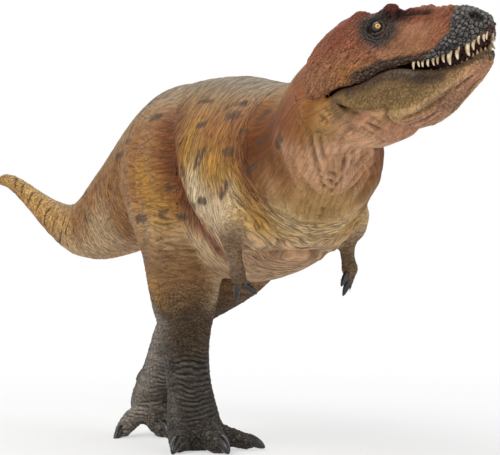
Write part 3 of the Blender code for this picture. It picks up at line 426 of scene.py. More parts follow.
def along_line(points, line):
    """Each point's place along a line, counted in the points of the line, and its distance from it."""
    best = np.full(len(points), np.inf)
    row = np.zeros(len(points))
    for k, (start, end) in enumerate(zip(line, line[1:])):
        step = end - start
        t = np.clip((points - start) @ step / max(step @ step, TINY), 0, 1)
        d = np.linalg.norm(points - start - t[:, None] * step, axis=1)
        closer = d < best
        best[closer] = d[closer]
        row[closer] = k + t[closer]
    return row, best


def along_axis(points):
    """Each point's place along the axis in rows, and its height and side from it in half depths."""
    place = hip_place(points)
    row, _ = along_line(place, AXIS[:, :3])
    rows = np.arange(len(AXIS))
    middle = np.stack([np.interp(row, rows, AXIS[:, k]) for k in range(4)], axis=1)
    base = np.minimum(row.astype(int), len(AXIS) - 2)
    forward = AXIS[base + 1, :3] - AXIS[base, :3]
    forward /= np.linalg.norm(forward, axis=1)[:, None]
    up = np.array((0, 0, 1.0)) - forward * forward[:, 2:3]
    up /= np.linalg.norm(up, axis=1)[:, None]
    left = np.cross(up, forward)
    offset = place - middle[:, :3]
    half = middle[:, 3]
    return row, (offset * up).sum(axis=1) / half, (offset * left).sum(axis=1) / half


def fold_place(points):
    """Millimetres along the animal's axis, a little warped, and round it: folds run along it or across."""
    row, up, side = along_axis(points)
    rows = np.arange(len(AXIS))
    along = np.interp(row, rows, AXIS_LENGTHS) + 2.2 * noise(hip_place(points), 17.0, 43)
    spread = np.maximum(np.hypot(up, side), 0.2)
    return np.stack([along, 18 * up / spread, 18 * side / spread], axis=1)


def waved(fold, place):
    """Fold places made wavy, for the neck."""
    return fold + noise(place, (13.0, 13.0, 18.0), 53)[:, None] * (0, 2.4, 2.4)


def slanted(place, cosine, sine):
    """Head places on axes turned about the sideways one, so that folds run at a slant."""
    f, l, u = place.T
    return np.stack([f * cosine + u * sine, l, u * cosine - f * sine], axis=1)


def near_path(points, path, reach):
    """The points within reach of a path, their distance from it in millimetres, and their share along it."""
    low, high = path.min(axis=0) - reach * MM, path.max(axis=0) + reach * MM
    index = np.flatnonzero(((points > low) & (points < high)).all(axis=1))
    row, distance = along_line(points[index], path)
    return index, distance / MM, row / (len(path) - 1)


def curve(points, per_span=6):
    """A smooth curve through points, as more points."""
    points = [np.array(p, float) for p in points]
    if len(points) == 2:
        start, end = points
        return [start + (end - start) * t for t in np.linspace(0, 1, per_span + 1)]
    padded = [2 * points[0] - points[1], *points, 2 * points[-1] - points[-2]]
    found = []
    for a, b, c, d in zip(padded, padded[1:], padded[2:], padded[3:]):
        for t in np.arange(per_span) / per_span:
            place = 2 * b + (c - a) * t + (2 * a - 5 * b + 4 * c - d) * t**2
            found.append(0.5 * (place + (3 * b - a - 3 * c + d) * t**3))
    found.append(points[-1])
    return found


def closest(hits):
    """The place of the hit at the least distance."""
    return np.array(min(hits, key=lambda hit: hit[3])[0])


class Sketch:
    """Lays marks on skins where pixels of the photograph see them, and mirrored on the other side."""

    def __init__(self, *skins):
        self.trees = [skin.tree() for skin in skins]

    def cast(self, pixel):
        """The point of the skin that a pixel sees, or the one nearest to its line of sight."""
        direction = ray_to(pixel)
        start = Vector(CAMERA)
        hits = [tree.ray_cast(start, direction) for tree in self.trees]
        hits = [hit for hit in hits if hit[0]]
        if hits:
            return closest(hits)
        tries = [start + direction * (distance * MM) for distance in FIGURE_RANGE]
        return closest([tree.find_nearest(point) for tree in self.trees for point in tries])

    def settle(self, point):
        """The point of the skin nearest to a point."""
        return closest([tree.find_nearest(Vector(point)) for tree in self.trees])

    def mirrored(self, path, plane):
        """The path on the other side of the head's middle plane, or of the body's."""
        if plane == "head":
            place = head_place(path) * (1, -1, 1)
            other = HINGE + place @ HEAD.T * MM
        else:
            place = hip_place(path)
            middle = np.interp(place[:, 0], AXIS[:, 0], AXIS[:, 1])
            place[:, 1] = 2 * middle - place[:, 1]
            other = HIP + place * MM
        return np.array([self.settle(point) for point in other])

    def path(self, pixels, plane):
        """One path, or two with its mirror image, for pixels that run over the skin."""
        path = np.array([self.cast(pixel) for pixel in curve(pixels)])
        return [path, self.mirrored(path, plane)] if plane else [path]


def srgb(red, green, blue):
    return np.array((red, green, blue)) / 255


# Paints of the figure, as red, green and blue out of 255
OCHRE = srgb(160, 112, 66)
GOLD = srgb(184, 134, 58)
ORANGE = srgb(162, 104, 52)
CREAM = srgb(226, 202, 162)
BACK = srgb(162, 136, 102)
BACK_GREY = srgb(148, 134, 114)
BELLY = srgb(192, 152, 116)
RUST = srgb(104, 56, 22)
THIGH_SHADE = srgb(108, 60, 36)
RED_BROWN = srgb(150, 90, 62)
CROWN = srgb(128, 68, 48)
HORN_RED = srgb(84, 32, 22)
HORN_SHADE = srgb(48, 26, 20)
CHEEK = srgb(156, 106, 74)
TAN = srgb(166, 118, 84)
TAN_HIGHLIGHT = srgb(192, 148, 118)
SNOUT = srgb(34, 31, 29)
SNOUT_PALE_AND_HIGHLIGHT = srgb(122, 116, 109)
LID_AND_BROW_SHADE = srgb(58, 50, 46)
LIP = srgb(62, 44, 32)
LIP_HIGHLIGHT = srgb(122, 108, 96)
JAW_BROWN = srgb(88, 68, 50)
JAW_SPECKLE_AND_SHADE = srgb(62, 48, 38)
JAW_OLIVE = srgb(140, 110, 68)
JAW_YELLOW = srgb(186, 150, 94)
JAW_RIM = srgb(204, 164, 116)
POUCH = srgb(186, 136, 104)
POUCH_DARK = srgb(110, 72, 52)
THROAT = srgb(196, 148, 112)
THROAT_PALE = srgb(222, 176, 140)
THROAT_SHADE = srgb(98, 78, 58)
NECK_PALE = srgb(170, 134, 84)
NECK_BROWN = srgb(142, 92, 46)
KNEE = srgb(142, 106, 70)
SHANK = srgb(84, 65, 45)
FOOT = srgb(60, 54, 47)
FOOT_GREY = srgb(126, 116, 104)
LEG_GREY = srgb(152, 142, 130)
ARM = srgb(146, 120, 92)
ARM_DARK = srgb(92, 76, 60)
SPOT = srgb(88, 66, 52)
STRIPE = srgb(106, 72, 42)
TAIL_GOLD = srgb(222, 174, 104)
MOUTH = srgb(96, 46, 40)
SOCKET_SHADE = srgb(36, 20, 17)
NOSTRIL_SHADE = srgb(22, 18, 17)


class Paint:
    """A colour and a gloss for each point of a skin."""

    def __init__(self, skin, colour):
        self.skin = skin
        self.colour = np.tile(colour, (len(skin.points), 1))
        self.gloss = np.zeros(len(skin.points))

    def coat(self, mask, colour, gloss=None):
        """Paint over all points, as thick as the mask says, with a gloss of its own or none."""
        mask = np.clip(mask, 0, 1)
        self.colour += (colour - self.colour) * mask[:, None]
        if gloss is not None:
            self.gloss += (gloss - self.gloss) * mask

    def blend(self, index, mask, colour):
        self.colour[index] += (colour - self.colour[index]) * mask[:, None]

    def spray(self, path, radius, colour, strength):
        """A soft band of paint along a path. The strength may differ from point to point."""
        index, distance, _ = near_path(self.skin.points, path, radius * 2)
        strengths = np.broadcast_to(strength, len(self.skin.points))[index]
        self.blend(index, hump(distance, 0, radius) * strengths, colour)

    def spray_rows(self, sketch, rows, plane, strength=1):
        """Sprays every band of a table, and its mirror image in the plane."""
        for radius, share, colour, *pixels in rows:
            for path in sketch.path(pixels, plane):
                self.spray(path, radius, colour, share * strength)

    def dab(self, path, radius, colour, strength):
        """A spot with a ragged edge."""
        index, distance, _ = near_path(self.skin.points, path, radius * 2)
        ragged = distance + 0.5 * radius * noise(self.skin.points[index] / MM, (2.4, 1.5, 1.5))
        self.blend(index, smooth(1.35 * radius, 0.35 * radius, ragged) * strength, colour)


# Sculpted marks, each with its width and its depth in millimetres (below zero is a groove) and its pixels
NECK_MARKS = (
    (1.3, -1.0, (334, 92), (340, 98), (347, 106), (354, 116), (358, 127)),
    (0.8, -0.5, (350, 109), (362, 114), (376, 121), (389, 128)),
    (0.8, -0.5, (352, 115), (364, 121), (378, 129), (388, 133)),
    (0.8, -0.45, (355, 122), (366, 130), (378, 139), (388, 146)),
    (0.8, -0.4, (360, 122), (372, 127), (384, 131)),
    (0.9, 0.45, (313, 121), (318, 148), (324, 174), (333, 200)),
    (0.8, -0.5, (309, 122), (313, 150), (319, 174), (328, 198)),
    (0.8, -0.45, (319, 128), (322, 150), (327, 166)),
    (0.9, -0.6, (320, 113), (324, 120), (329, 126)),
    (0.8, -0.5, (324, 105), (327, 112), (329, 118)),
    (1.3, -0.8, (286, 146), (292, 164), (301, 181), (313, 194), (324, 201)),
    (1.2, 0.5, (292, 167), (299, 182), (305, 192)),
    (1.0, -0.4, (300, 120), (300, 140), (304, 160)),
    (0.9, 0.3, (305, 118), (307, 140), (312, 162)),
    (1.0, -0.35, (313, 216), (334, 218), (350, 213)),
    (1.0, -0.3, (316, 208), (330, 211), (344, 208)),
    (0.9, -0.4, (338, 40), (322, 62), (308, 84)),
    (0.9, -0.4, (346, 46), (330, 70), (318, 92)),
)
# The folds over the middle of the throat, which have no mirror image
THROAT_MARKS = (
    (0.9, 0.5, (381, 148), (368, 157), (356, 168), (346, 181), (338, 197), (334, 208)),
    (0.8, -0.5, (378, 154), (364, 165), (354, 177), (346, 190), (340, 202)),
    (0.8, -0.45, (382, 160), (368, 172), (356, 185), (346, 199)),
    (0.8, -0.4, (383, 169), (370, 180), (358, 192), (350, 202)),
    (0.8, -0.45, (374, 148), (360, 160), (350, 172), (342, 188)),
    (0.8, -0.5, (338, 152), (341, 139), (349, 130), (357, 133)),
    (0.8, 0.35, (336, 158), (337, 142), (344, 130)),
    (0.7, -0.4, (354, 148), (351, 160), (353, 169)),
    (0.7, -0.4, (345, 150), (343, 165), (340, 182)),
    (0.8, -0.5, (318, 168), (324, 172), (332, 173), (340, 178)),
    (0.8, -0.5, (319, 176), (326, 178), (333, 182), (337, 188)),
    (0.8, -0.45, (322, 184), (329, 188), (334, 194)),
    (0.8, 0.35, (320, 172), (328, 175), (337, 181)),
)
BODY_MARKS = (
    (3.4, -1.5, (160, 120), (167, 150), (175, 178), (185, 204), (199, 228), (216, 252)),
    (4.5, 1.0, (150, 120), (156, 155), (163, 190), (176, 226)),
    (2.4, -0.8, (140, 124), (133, 160), (136, 205), (146, 238)),
    (2.2, -0.5, (186, 132), (190, 160), (198, 190), (212, 214)),
    (3.4, 0.6, (200, 128), (206, 160), (216, 192)),
    (2.4, -0.4, (222, 120), (232, 150), (238, 180), (240, 206)),
    (3.8, 0.8, (252, 108), (262, 140), (268, 170), (270, 200)),
    (2.4, -1.0, (238, 186), (240, 208), (250, 218), (266, 222), (280, 236)),
    (2.0, -0.5, (276, 130), (283, 160), (290, 190), (290, 216)),
    (1.5, -0.9, (240, 254), (262, 254), (284, 253), (306, 252), (330, 248)),
    (2.2, 0.5, (246, 247), (270, 246), (300, 243), (330, 236)),
    (1.2, -0.4, (262, 232), (278, 240), (296, 240), (314, 232)),
    (1.4, -0.5, (148, 232), (166, 244), (190, 252), (212, 250)),
    (1.2, -0.4, (150, 246), (170, 256), (194, 262)),
    (1.2, -0.4, (158, 216), (172, 226), (190, 232)),
    (2.0, -0.6, (120, 150), (112, 182), (108, 206)),
    (1.6, -0.4, (232, 108), (246, 104), (262, 100)),
    (1.4, -0.35, (212, 116), (226, 108), (244, 102)),
)
HEAD_MARKS = (
    (2.0, 0.7, (384, 7), (392, 6), (400, 9)),
    (1.1, -0.7, (380, 14), (392, 17), (404, 15)),
    (0.9, -0.55, (394, 15), (408, 13), (426, 12), (444, 12)),
    (1.2, 0.5, (404, 9), (422, 8), (440, 8)),
    (1.4, 0.45, (344, 78), (356, 71), (370, 65), (386, 59), (404, 53)),
    (0.9, -0.4, (350, 66), (362, 62), (374, 60), (386, 54)),
    (0.8, -0.35, (340, 62), (350, 56), (360, 52)),
    (0.9, -0.35, (344, 40), (348, 52), (344, 66)),
    (0.7, -0.3, (356, 40), (364, 50), (376, 56)),
    (0.7, -0.3, (352, 34), (352, 46), (358, 56)),
    (1.0, 0.4, (388, 26), (391, 36), (392, 46), (398, 52)),
    (1.1, -0.5, (336, 48), (330, 62), (333, 76)),
    (0.9, 0.5, (352, 85), (362, 80), (374, 72), (388, 66), (404, 62)),
)
JAW_MARKS = (
    (1.0, 0.5, (369, 112), (395, 115), (419, 106), (437, 94), (454, 82), (468, 73), (479, 66)),
    (0.7, -0.25, (398, 121), (418, 113), (437, 103), (451, 92)),
    (0.7, -0.2, (409, 113), (430, 104), (447, 91), (462, 80)),
    (0.7, -0.4, (404, 127), (424, 120), (442, 109)),
    (0.7, -0.35, (452, 92), (464, 82), (476, 73)),
    (0.8, 0.3, (384, 72), (394, 70), (406, 71), (416, 74)),
)
# Dark spots: two ends of each, in pixels across and down, then radius in millimetres
SPOT_PIXELS = (
    (203, 150, 199, 163, 1.4),
    (198, 154, 194, 168, 1.4),
    (225, 151, 233, 151, 1.6),
    (256, 164, 248, 172, 1.3),
    (226, 183, 224, 194, 1.2),
    (222, 188, 220, 198, 1.1),
    (199, 201, 205, 201, 1.2),
    (191, 204, 194, 207, 1.2),
    (227, 117, 238, 115, 1.5),
    (267, 112, 260, 119, 1.4),
    (258, 142, 264, 140, 1.3),
    (281, 136, 277, 144, 1.3),
    (197, 126, 205, 124, 1.0),
    (198, 102, 212, 101, 0.9),
    (152, 118, 160, 116, 1.3),
    (148, 104, 152, 103, 0.9),
    (181, 167, 183, 173, 1.1),
    (137, 219, 145, 218, 1.5),
    (178, 217, 186, 217, 1.1),
    (160, 213, 166, 212, 1.1),
    (117, 156, 123, 154, 1.1),
    (126, 142, 130, 141, 1.1),
    (169, 187, 175, 186, 1.0),
    (238, 104, 245, 103, 0.9),
    (240, 132, 246, 131, 0.9),
    (84, 211, 86, 221, 1.0),
    (86, 192, 83, 196, 0.9),
    (95, 184, 96, 190, 0.7),
    (112, 204, 114, 208, 0.8),
)
# Bars across the tail, in pixels
STRIPE_PIXELS = (
    ((16, 178), (15, 186)),
    ((23, 185), (21, 193)),
    ((32, 193), (28, 202)),
    ((41, 200), (36, 210)),
    ((50, 208), (45, 215), (44, 224)),
    ((58, 216), (54, 222), (53, 230)),
    ((65, 216), (63, 224)),
    ((62, 231), (59, 242)),
    ((67, 226), (65, 234)),
    ((74, 222), (73, 232)),
    ((53, 238), (55, 244)),
    ((67, 245), (68, 248)),
)
# Sprayed bands: radius in millimetres, strength, paint, and pixels
BODY_SPRAYS = (
    (8, 0.8, BACK, (290, 94), (250, 86), (210, 86), (176, 92)),
    (6, 0.7, BACK_GREY, (276, 84), (240, 80), (206, 82)),
    (7, 0.7, OCHRE, (246, 112), (210, 118), (180, 112)),
    (8, 0.8, ORANGE, (250, 130), (226, 140), (206, 138)),
    (7, 0.9, GOLD, (190, 134), (186, 158), (216, 170), (236, 180)),
    (7, 0.9, CREAM, (190, 184), (204, 202), (222, 214)),
    (6, 0.9, CREAM, (196, 204), (212, 224), (226, 238)),
    (4, 0.7, CREAM, (232, 190), (234, 204), (240, 214)),
    (8, 1.0, RUST, (250, 150), (262, 176), (268, 194)),
    (9, 1.0, RUST, (274, 140), (284, 172), (280, 198)),
    (7, 0.7, RUST, (286, 124), (270, 134)),
    (7, 0.9, GOLD, (296, 212), (284, 228), (262, 218)),
    (3, 0.6, NECK_PALE, (288, 168), (296, 188), (304, 200)),
    (7, 0.5, NECK_PALE, (318, 216), (300, 232)),
    (7, 0.7, CREAM, (338, 226), (352, 212), (364, 196)),
    (4, 0.6, CREAM, (246, 248), (272, 249), (302, 247)),
    (6, 0.8, BELLY, (262, 262), (290, 260), (318, 250)),
    (7, 0.5, POUCH, (232, 250), (220, 246), (212, 238)),
    (6, 0.9, THIGH_SHADE, (164, 124), (170, 150), (177, 176), (186, 200)),
    (4, 0.8, THIGH_SHADE, (190, 206), (202, 226), (216, 248)),
    (8, 0.7, OCHRE, (148, 140), (144, 170)),
    (7, 0.8, GOLD, (140, 176), (152, 196), (160, 214)),
    (6, 0.5, GOLD, (140, 240), (150, 268)),
    (6, 0.5, BACK, (132, 122), (108, 158), (88, 186), (72, 203)),
    (7, 0.5, OCHRE, (116, 180), (94, 214), (74, 232)),
    (6, 0.9, TAIL_GOLD, (66, 226), (46, 214), (30, 198)),
    (6, 0.6, CREAM, (112, 236), (88, 248), (64, 250)),
    (6, 0.5, CREAM, (104, 214), (92, 226)),
    (4, 0.9, TAIL_GOLD, (26, 190), (12, 183), (2, 181)),
)
NECK_SPRAYS = (
    (6, 0.9, RED_BROWN, (344, 28), (324, 52), (308, 76)),
    (5, 0.6, CROWN, (352, 14), (334, 34), (312, 56)),
    (6, 0.8, RED_BROWN, (296, 92), (288, 116), (284, 140)),
    (5, 0.7, RUST, (282, 130), (284, 160), (290, 190)),
    (5, 0.8, ORANGE, (330, 66), (322, 90), (312, 112)),
    (4, 0.6, ORANGE, (328, 90), (322, 108), (308, 140)),
    (3.5, 0.8, NECK_PALE, (322, 112), (316, 140), (318, 168), (326, 190)),
    (3.5, 0.7, NECK_BROWN, (306, 112), (299, 140), (301, 168)),
    (4.5, 1.0, THROAT, (350, 128), (352, 150), (348, 172), (342, 194)),
    (5, 1.0, THROAT, (376, 138), (368, 160), (356, 178)),
    (2.5, 0.6, THROAT_PALE, (366, 140), (352, 160), (344, 184)),
    (5, 0.7, NECK_PALE, (316, 206), (334, 210), (352, 200)),
    # Painted shade in the seam between the lower jaw and the neck
    (2.0, 0.8, THROAT_SHADE, (334, 93), (341, 102), (348, 114), (352, 124)),
    (1.4, 0.7, THROAT_SHADE, (334, 104), (338, 116)),
    (2.2, 0.9, JAW_RIM, (352, 108), (364, 112), (378, 114)),
    (3.0, 0.9, POUCH, (360, 118), (378, 126), (394, 130), (414, 126)),
)
HEAD_SPRAYS = (
    (5, 0.9, TAN, (404, 30), (416, 34), (430, 26)),
    # Painted highlights in pale tan, before the eye and along the folds below and behind it
    (3, 0.7, TAN_HIGHLIGHT, (412, 24), (424, 20), (434, 20)),
    (1.6, 0.6, CROWN, (360, 40), (358, 50), (352, 60)),
    (1.4, 0.6, TAN_HIGHLIGHT, (368, 47), (380, 50), (392, 52)),
    (1.4, 0.5, TAN_HIGHLIGHT, (346, 70), (356, 64), (368, 60)),
    (4, 0.7, CHEEK, (396, 46), (414, 46)),
    (5, 0.8, TAN, (350, 64), (366, 66), (382, 58)),
    (4, 0.7, ORANGE, (344, 76), (352, 72)),
    (3.5, 0.9, CROWN, (362, 12), (348, 26), (338, 40)),
    (4, 0.8, RED_BROWN, (354, 34), (352, 48), (366, 52)),
    (2.6, 0.8, CROWN, (446, 16), (430, 16), (412, 15)),
    (3, 0.6, RED_BROWN, (440, 28), (436, 38)),
    (2.8, 0.95, HORN_RED, (382, 8), (392, 8), (403, 12)),
    (1.5, 0.95, HORN_SHADE, (380, 15), (392, 18), (404, 16)),
    (1.0, 0.9, HORN_SHADE, (400, 14), (414, 14), (428, 13)),
)
# The dark patch round each eye: painted shade under the brow over the eye, and the dark grey lids under it
EYE_SPRAYS = (
    (2.0, 0.95, LID_AND_BROW_SHADE, (364, 22), (372, 18), (382, 18), (389, 23)),
    (2.6, 0.95, LID_AND_BROW_SHADE, (370, 30), (374, 36), (384, 37), (388, 31)),
    (1.5, 0.8, LID_AND_BROW_SHADE, (364, 30), (368, 37), (376, 42)),
)
JAW_SPRAYS = (
    (3.5, 0.8, JAW_OLIVE, (356, 94), (380, 95), (405, 92), (420, 86)),
    (3.0, 0.8, JAW_OLIVE, (450, 74), (464, 68), (480, 58)),
    (2.0, 0.9, JAW_BROWN, (348, 90), (364, 84), (382, 78), (400, 76), (420, 78)),
    # Painted shade on the lower jaw under the upper teeth
    (1.7, 0.9, JAW_SPECKLE_AND_SHADE, (416, 75), (428, 78), (440, 75)),
    (1.2, 0.8, JAW_BROWN, (440, 70), (456, 66), (472, 59)),
    # Painted highlights along the top of the lower lip's bulge
    (1.0, 0.8, SNOUT_PALE_AND_HIGHLIGHT, (386, 73), (396, 70), (406, 71), (414, 73)),
    (1.4, 0.9, JAW_RIM, (369, 112), (395, 115), (419, 106), (437, 94), (454, 82), (468, 73), (479, 66)),
    (3.2, 0.95, POUCH, (396, 128), (418, 121), (440, 109), (456, 96), (470, 84), (484, 72)),
    (0.7, 0.35, POUCH_DARK, (404, 118), (422, 111), (440, 100), (455, 88), (468, 79)),
)
# Pale and dark bands down the legs
LEG_SPRAYS = (
    (6, 0.9, LEG_GREY, (157, 318), (154, 345), (148, 375), (136, 404), (124, 424)),
    # A painted highlight in cream along the near leg's rim at the knee
    (3, 0.5, CREAM, (217, 276), (217, 292), (214, 302)),
    (4, 0.5, GOLD, (150, 280), (158, 300)),
    (2, 0.4, FOOT_GREY, (172, 400), (176, 420)),
)


# The nodes under the one continuous skin, and how strongly the facets of each are smoothed away
RELAX_SHARES = {
    "tail_tip": 0.35,
    "tail_root": 1.0,
    "torso": 1.0,
    "neck": 0.8,
    "skull": 0.14,
    "right_leg": 0.3,
    "left_leg": 0.3,
    "right_arm": 0.12,
    "left_arm": 0.12,
}
BODY_NODES = tuple(RELAX_SHARES)


def label(skin):
    """Gives each point its share in each CAD node, 1 well inside the node's own stretch of skin."""
    points, corners, owner = gathered(BODY_NODES)
    tree = BVHTree.FromPolygons(points.tolist(), corners.tolist())
    nearest = owner[[tree.find_nearest(Vector(point))[2] for point in skin.points]]
    shares = skin.blurred(np.eye(len(BODY_NODES))[nearest], SEAM_ROUNDS)
    skin.fields["node"] = shares.argmax(axis=1)
    shares = skin.blurred(shares, SHARE_ROUNDS)
    for k, name in enumerate(BODY_NODES):
        skin.fields[name] = shares[:, k]


def limbs(skin, kind):
    """Each point's share in both legs or in both arms."""
    return np.clip(skin.fields["right_" + kind] + skin.fields["left_" + kind], 0, 1)


def sculpt_marks(skin, sketch, marks, plane):
    """Ridges and grooves along paths, deepest in the middle of each; grooves have low banks."""
    height = np.zeros(len(skin.points))
    for width, depth, *pixels in marks:
        for path in sketch.path(pixels, plane):
            index, distance, share = near_path(skin.points, path, width * 2.6)
            taper = smooth(0, 0.25, share) * smooth(1, 0.7, share)
            height[index] += depth * taper * hump(distance, 0, width)
            if depth < 0:
                banks = np.exp(-(((distance - 1.5 * width) / width * 1.4) ** 2))
                height[index] -= depth * 0.4 * taper * banks
    return height


# The two ends of the nostril on the animal's left, in the head's frame, in millimetres
NOSTRIL = ((37.0, 3.1, 10.2), (38.6, 2.7, 8.7))


def from_nostril(place, sign):
    """Millimetres from the nostril on one side of the head."""
    return along_line(place, on_side(NOSTRIL, sign))[1]


# The height of each plate down the front of the shanks, in millimetres
SCUTE_HEIGHT = 1.45


def wrinkles(skin):
    """Folds and scales all over the body, in millimetres: rings round the trunk, the tail and the legs."""
    place = hip_place(skin.points)
    fold = fold_place(skin.points)
    legs = limbs(skin, "leg")
    arms = limbs(skin, "arm")
    neck = skin.fields["neck"]
    z = place[:, 2]
    bent = place + (0, 0, 1) * noise(place, 15.0, 45)[:, None] * 2.5
    trunk = np.clip(1 - legs - arms - skin.fields["skull"] - neck, 0, 1)
    height = 0.24 * trunk * creases(fold, (2.0, 7.0, 7.0), 3)
    height += 0.16 * trunk * noise(fold, (3.4, 12.0, 12.0), 5)
    wavy = waved(fold, place)
    height += 0.10 * neck * creases(wavy, (44.0, 3.4, 3.4), 7, 2.4)
    height += 0.22 * neck * noise(wavy, (50.0, 5.0, 5.0), 9)
    shank = legs * smooth(64, 44, z)
    thigh = np.clip(legs - shank, 0, 1)
    height += 0.20 * thigh * creases(bent, (12.0, 12.0, 2.0), 13, 2.6)
    height += 0.16 * thigh * noise(bent, (10, 10, 3.4), 14)
    height += 0.12 * shank * creases(bent, (5.0, 5.0, 1.4), 15, 2.4)
    scutes = shank * smooth(34, 28, z) * smooth(4, 9, z) * smooth(0.60, 0.85, skin.normals()[:, 0])
    level = bent[:, 2] + 0.35 * noise(place, (3.0, 3.0, 4.0), 49)
    height += 0.26 * scutes * (smooth(-0.5, 0.1, np.cos(level * 2 * math.pi / SCUTE_HEIGHT)) - 0.6)
    height += 0.10 * arms * creases(bent, (2.6, 2.6, 1.1), 19)
    small = scales(place, 1.15, 2, high=0.35)
    height += 0.04 * (trunk * 0.6 + arms * 0.6) * small + 0.20 * (shank - scutes) * small
    height += 0.18 * (legs * smooth(14, 7, z)) * scales(place, (1.6, 2.8, 2.0), 4)
    return height


# The eyelid's radius round the eye's centre and the width of each fold below it, in millimetres
LID_RADIUS = 1.65
LID_FOLD = 0.95


def sculpt_head(skin, eyes):
    """Eyelids, cheeks, the hollows before the eyes and the bumps along the snout, in millimetres."""
    place = head_place(skin.points)
    f, l, u = place.T
    side = np.abs(l)
    height = np.zeros(len(place))
    for eye in eyes:
        ahead, above = f - eye[0], u - eye[2]
        d = np.linalg.norm(place - eye, axis=1)
        height -= 0.75 * np.exp(-((ahead - 0.3) / 3.6) ** 2 - ((above + 0.3) / 2.8) ** 2) * smooth(6, 4, d)
        height += 0.75 * hump(d, LID_RADIUS, 0.34)
        warped = d + 0.9 * noise(place, (2.4, 2.0, 1.6), 51)
        folds = np.cos((warped - LID_RADIUS) * 2 * math.pi / LID_FOLD)
        folds = folds * smooth(2.0, 2.5, d) * smooth(5.0, 3.6, d)
        height += 0.16 * folds * smooth(0.2, -1.2, above)
    fossa = np.exp(-(((f - 21.5) / 5.0) ** 2) - ((u - 10.5) / 3.4) ** 2) * smooth(4, 6, side)
    height -= 0.8 * fossa
    cheek = np.exp(-(((f - 3.0) / 4.0) ** 2) - ((u - 8.5) / 3.5) ** 2) * smooth(8, 10, side)
    height += 0.5 * cheek
    ridge = hump(side, 2.9, 0.9) * smooth(18, 22, f) * smooth(34, 30, f) * smooth(8, 10, u)
    height += 0.8 * ridge * smooth(-0.2, 0.6, noise(place, (1.7, 2.4, 3), 21))
    lip = hump(u - lip_height(f), 0.7, 0.7) * smooth(-0.5, 3, f) * smooth(0.4, -0.4, inward(skin))
    height += 0.35 * lip
    for sign in (-1, 1):
        d = from_nostril(place, sign)
        height += 0.35 * hump(d, 1.6, 0.5) - 1.0 * smooth(1.3, 0.6, d)
    return height * skin.fields["skull"]


def inward(skin):
    """How far the skin faces down, as in the mouth's roof: 1 straight down, below zero facing up."""
    return -(skin.normals() @ HEAD[:, 2])


def lip_height(f):
    """The height of the upper lip's edge at places along the head."""
    places = (0, 4.5, 9, 13, 16, 21, 26, 31, 35, 38, 39.8)
    return np.interp(f, places, (2.0, 1.5, 1.8, 2.7, 2.4, 1.9, 1.2, 1.6, 2.6, 4.0, 5.0))


def snout_share(place):
    """1 on the dark scaly skin of the snout and along the front of the upper lip."""
    edge = np.interp(place[:, 2], (1, 7, 14), (23.1, 31.2, 32.6)) + 0.8 * noise(place, 2.6, 23)
    return smooth(-0.9, 0.9, place[:, 0] - edge)


def snout_cells(place):
    """The snout's rounded scales."""
    return cells(place, 1.2, 6)


# The size of the scales along both lips, in millimetres, and their pattern's number
LIP_SCALES = ((1.5, 1.5, 1.1), 12)


def lip_scales(place):
    return scales(place, *LIP_SCALES, low=0.02, high=0.35, sunk=0.55)


def head_scales(skin):
    """Scales and fine wrinkles on the head, in millimetres."""
    place = head_place(skin.points)
    f, u = place[:, 0], place[:, 2]
    mask = smooth(0.35, 0.75, skin.fields["skull"])
    dark = snout_share(place)
    near, second = snout_cells(place)
    height = dark * (0.38 * smooth(0.0, 0.4, second - near) - 0.22 * near)
    calm = np.exp(-(((f - 22) / 7) ** 2) - ((u - 10) / 4.5) ** 2)
    rough = (1 - dark) * (1 - 0.8 * calm)
    height += 0.13 * rough * scales(place, (0.9, 0.9, 0.75), 8)
    height += 0.20 * rough * creases(slanted(place, 0.8, 0.6), (5.0, 2.6, 1.5), 25, 2.4)
    height += 0.16 * (1 - dark) * noise(place, (3, 3, 2), 27)
    lip = smooth(2.6, 1.2, u - lip_height(f)) * smooth(2, 8, f) * (1 - dark)
    height += 0.2 * lip * lip_scales(place)
    return height * mask


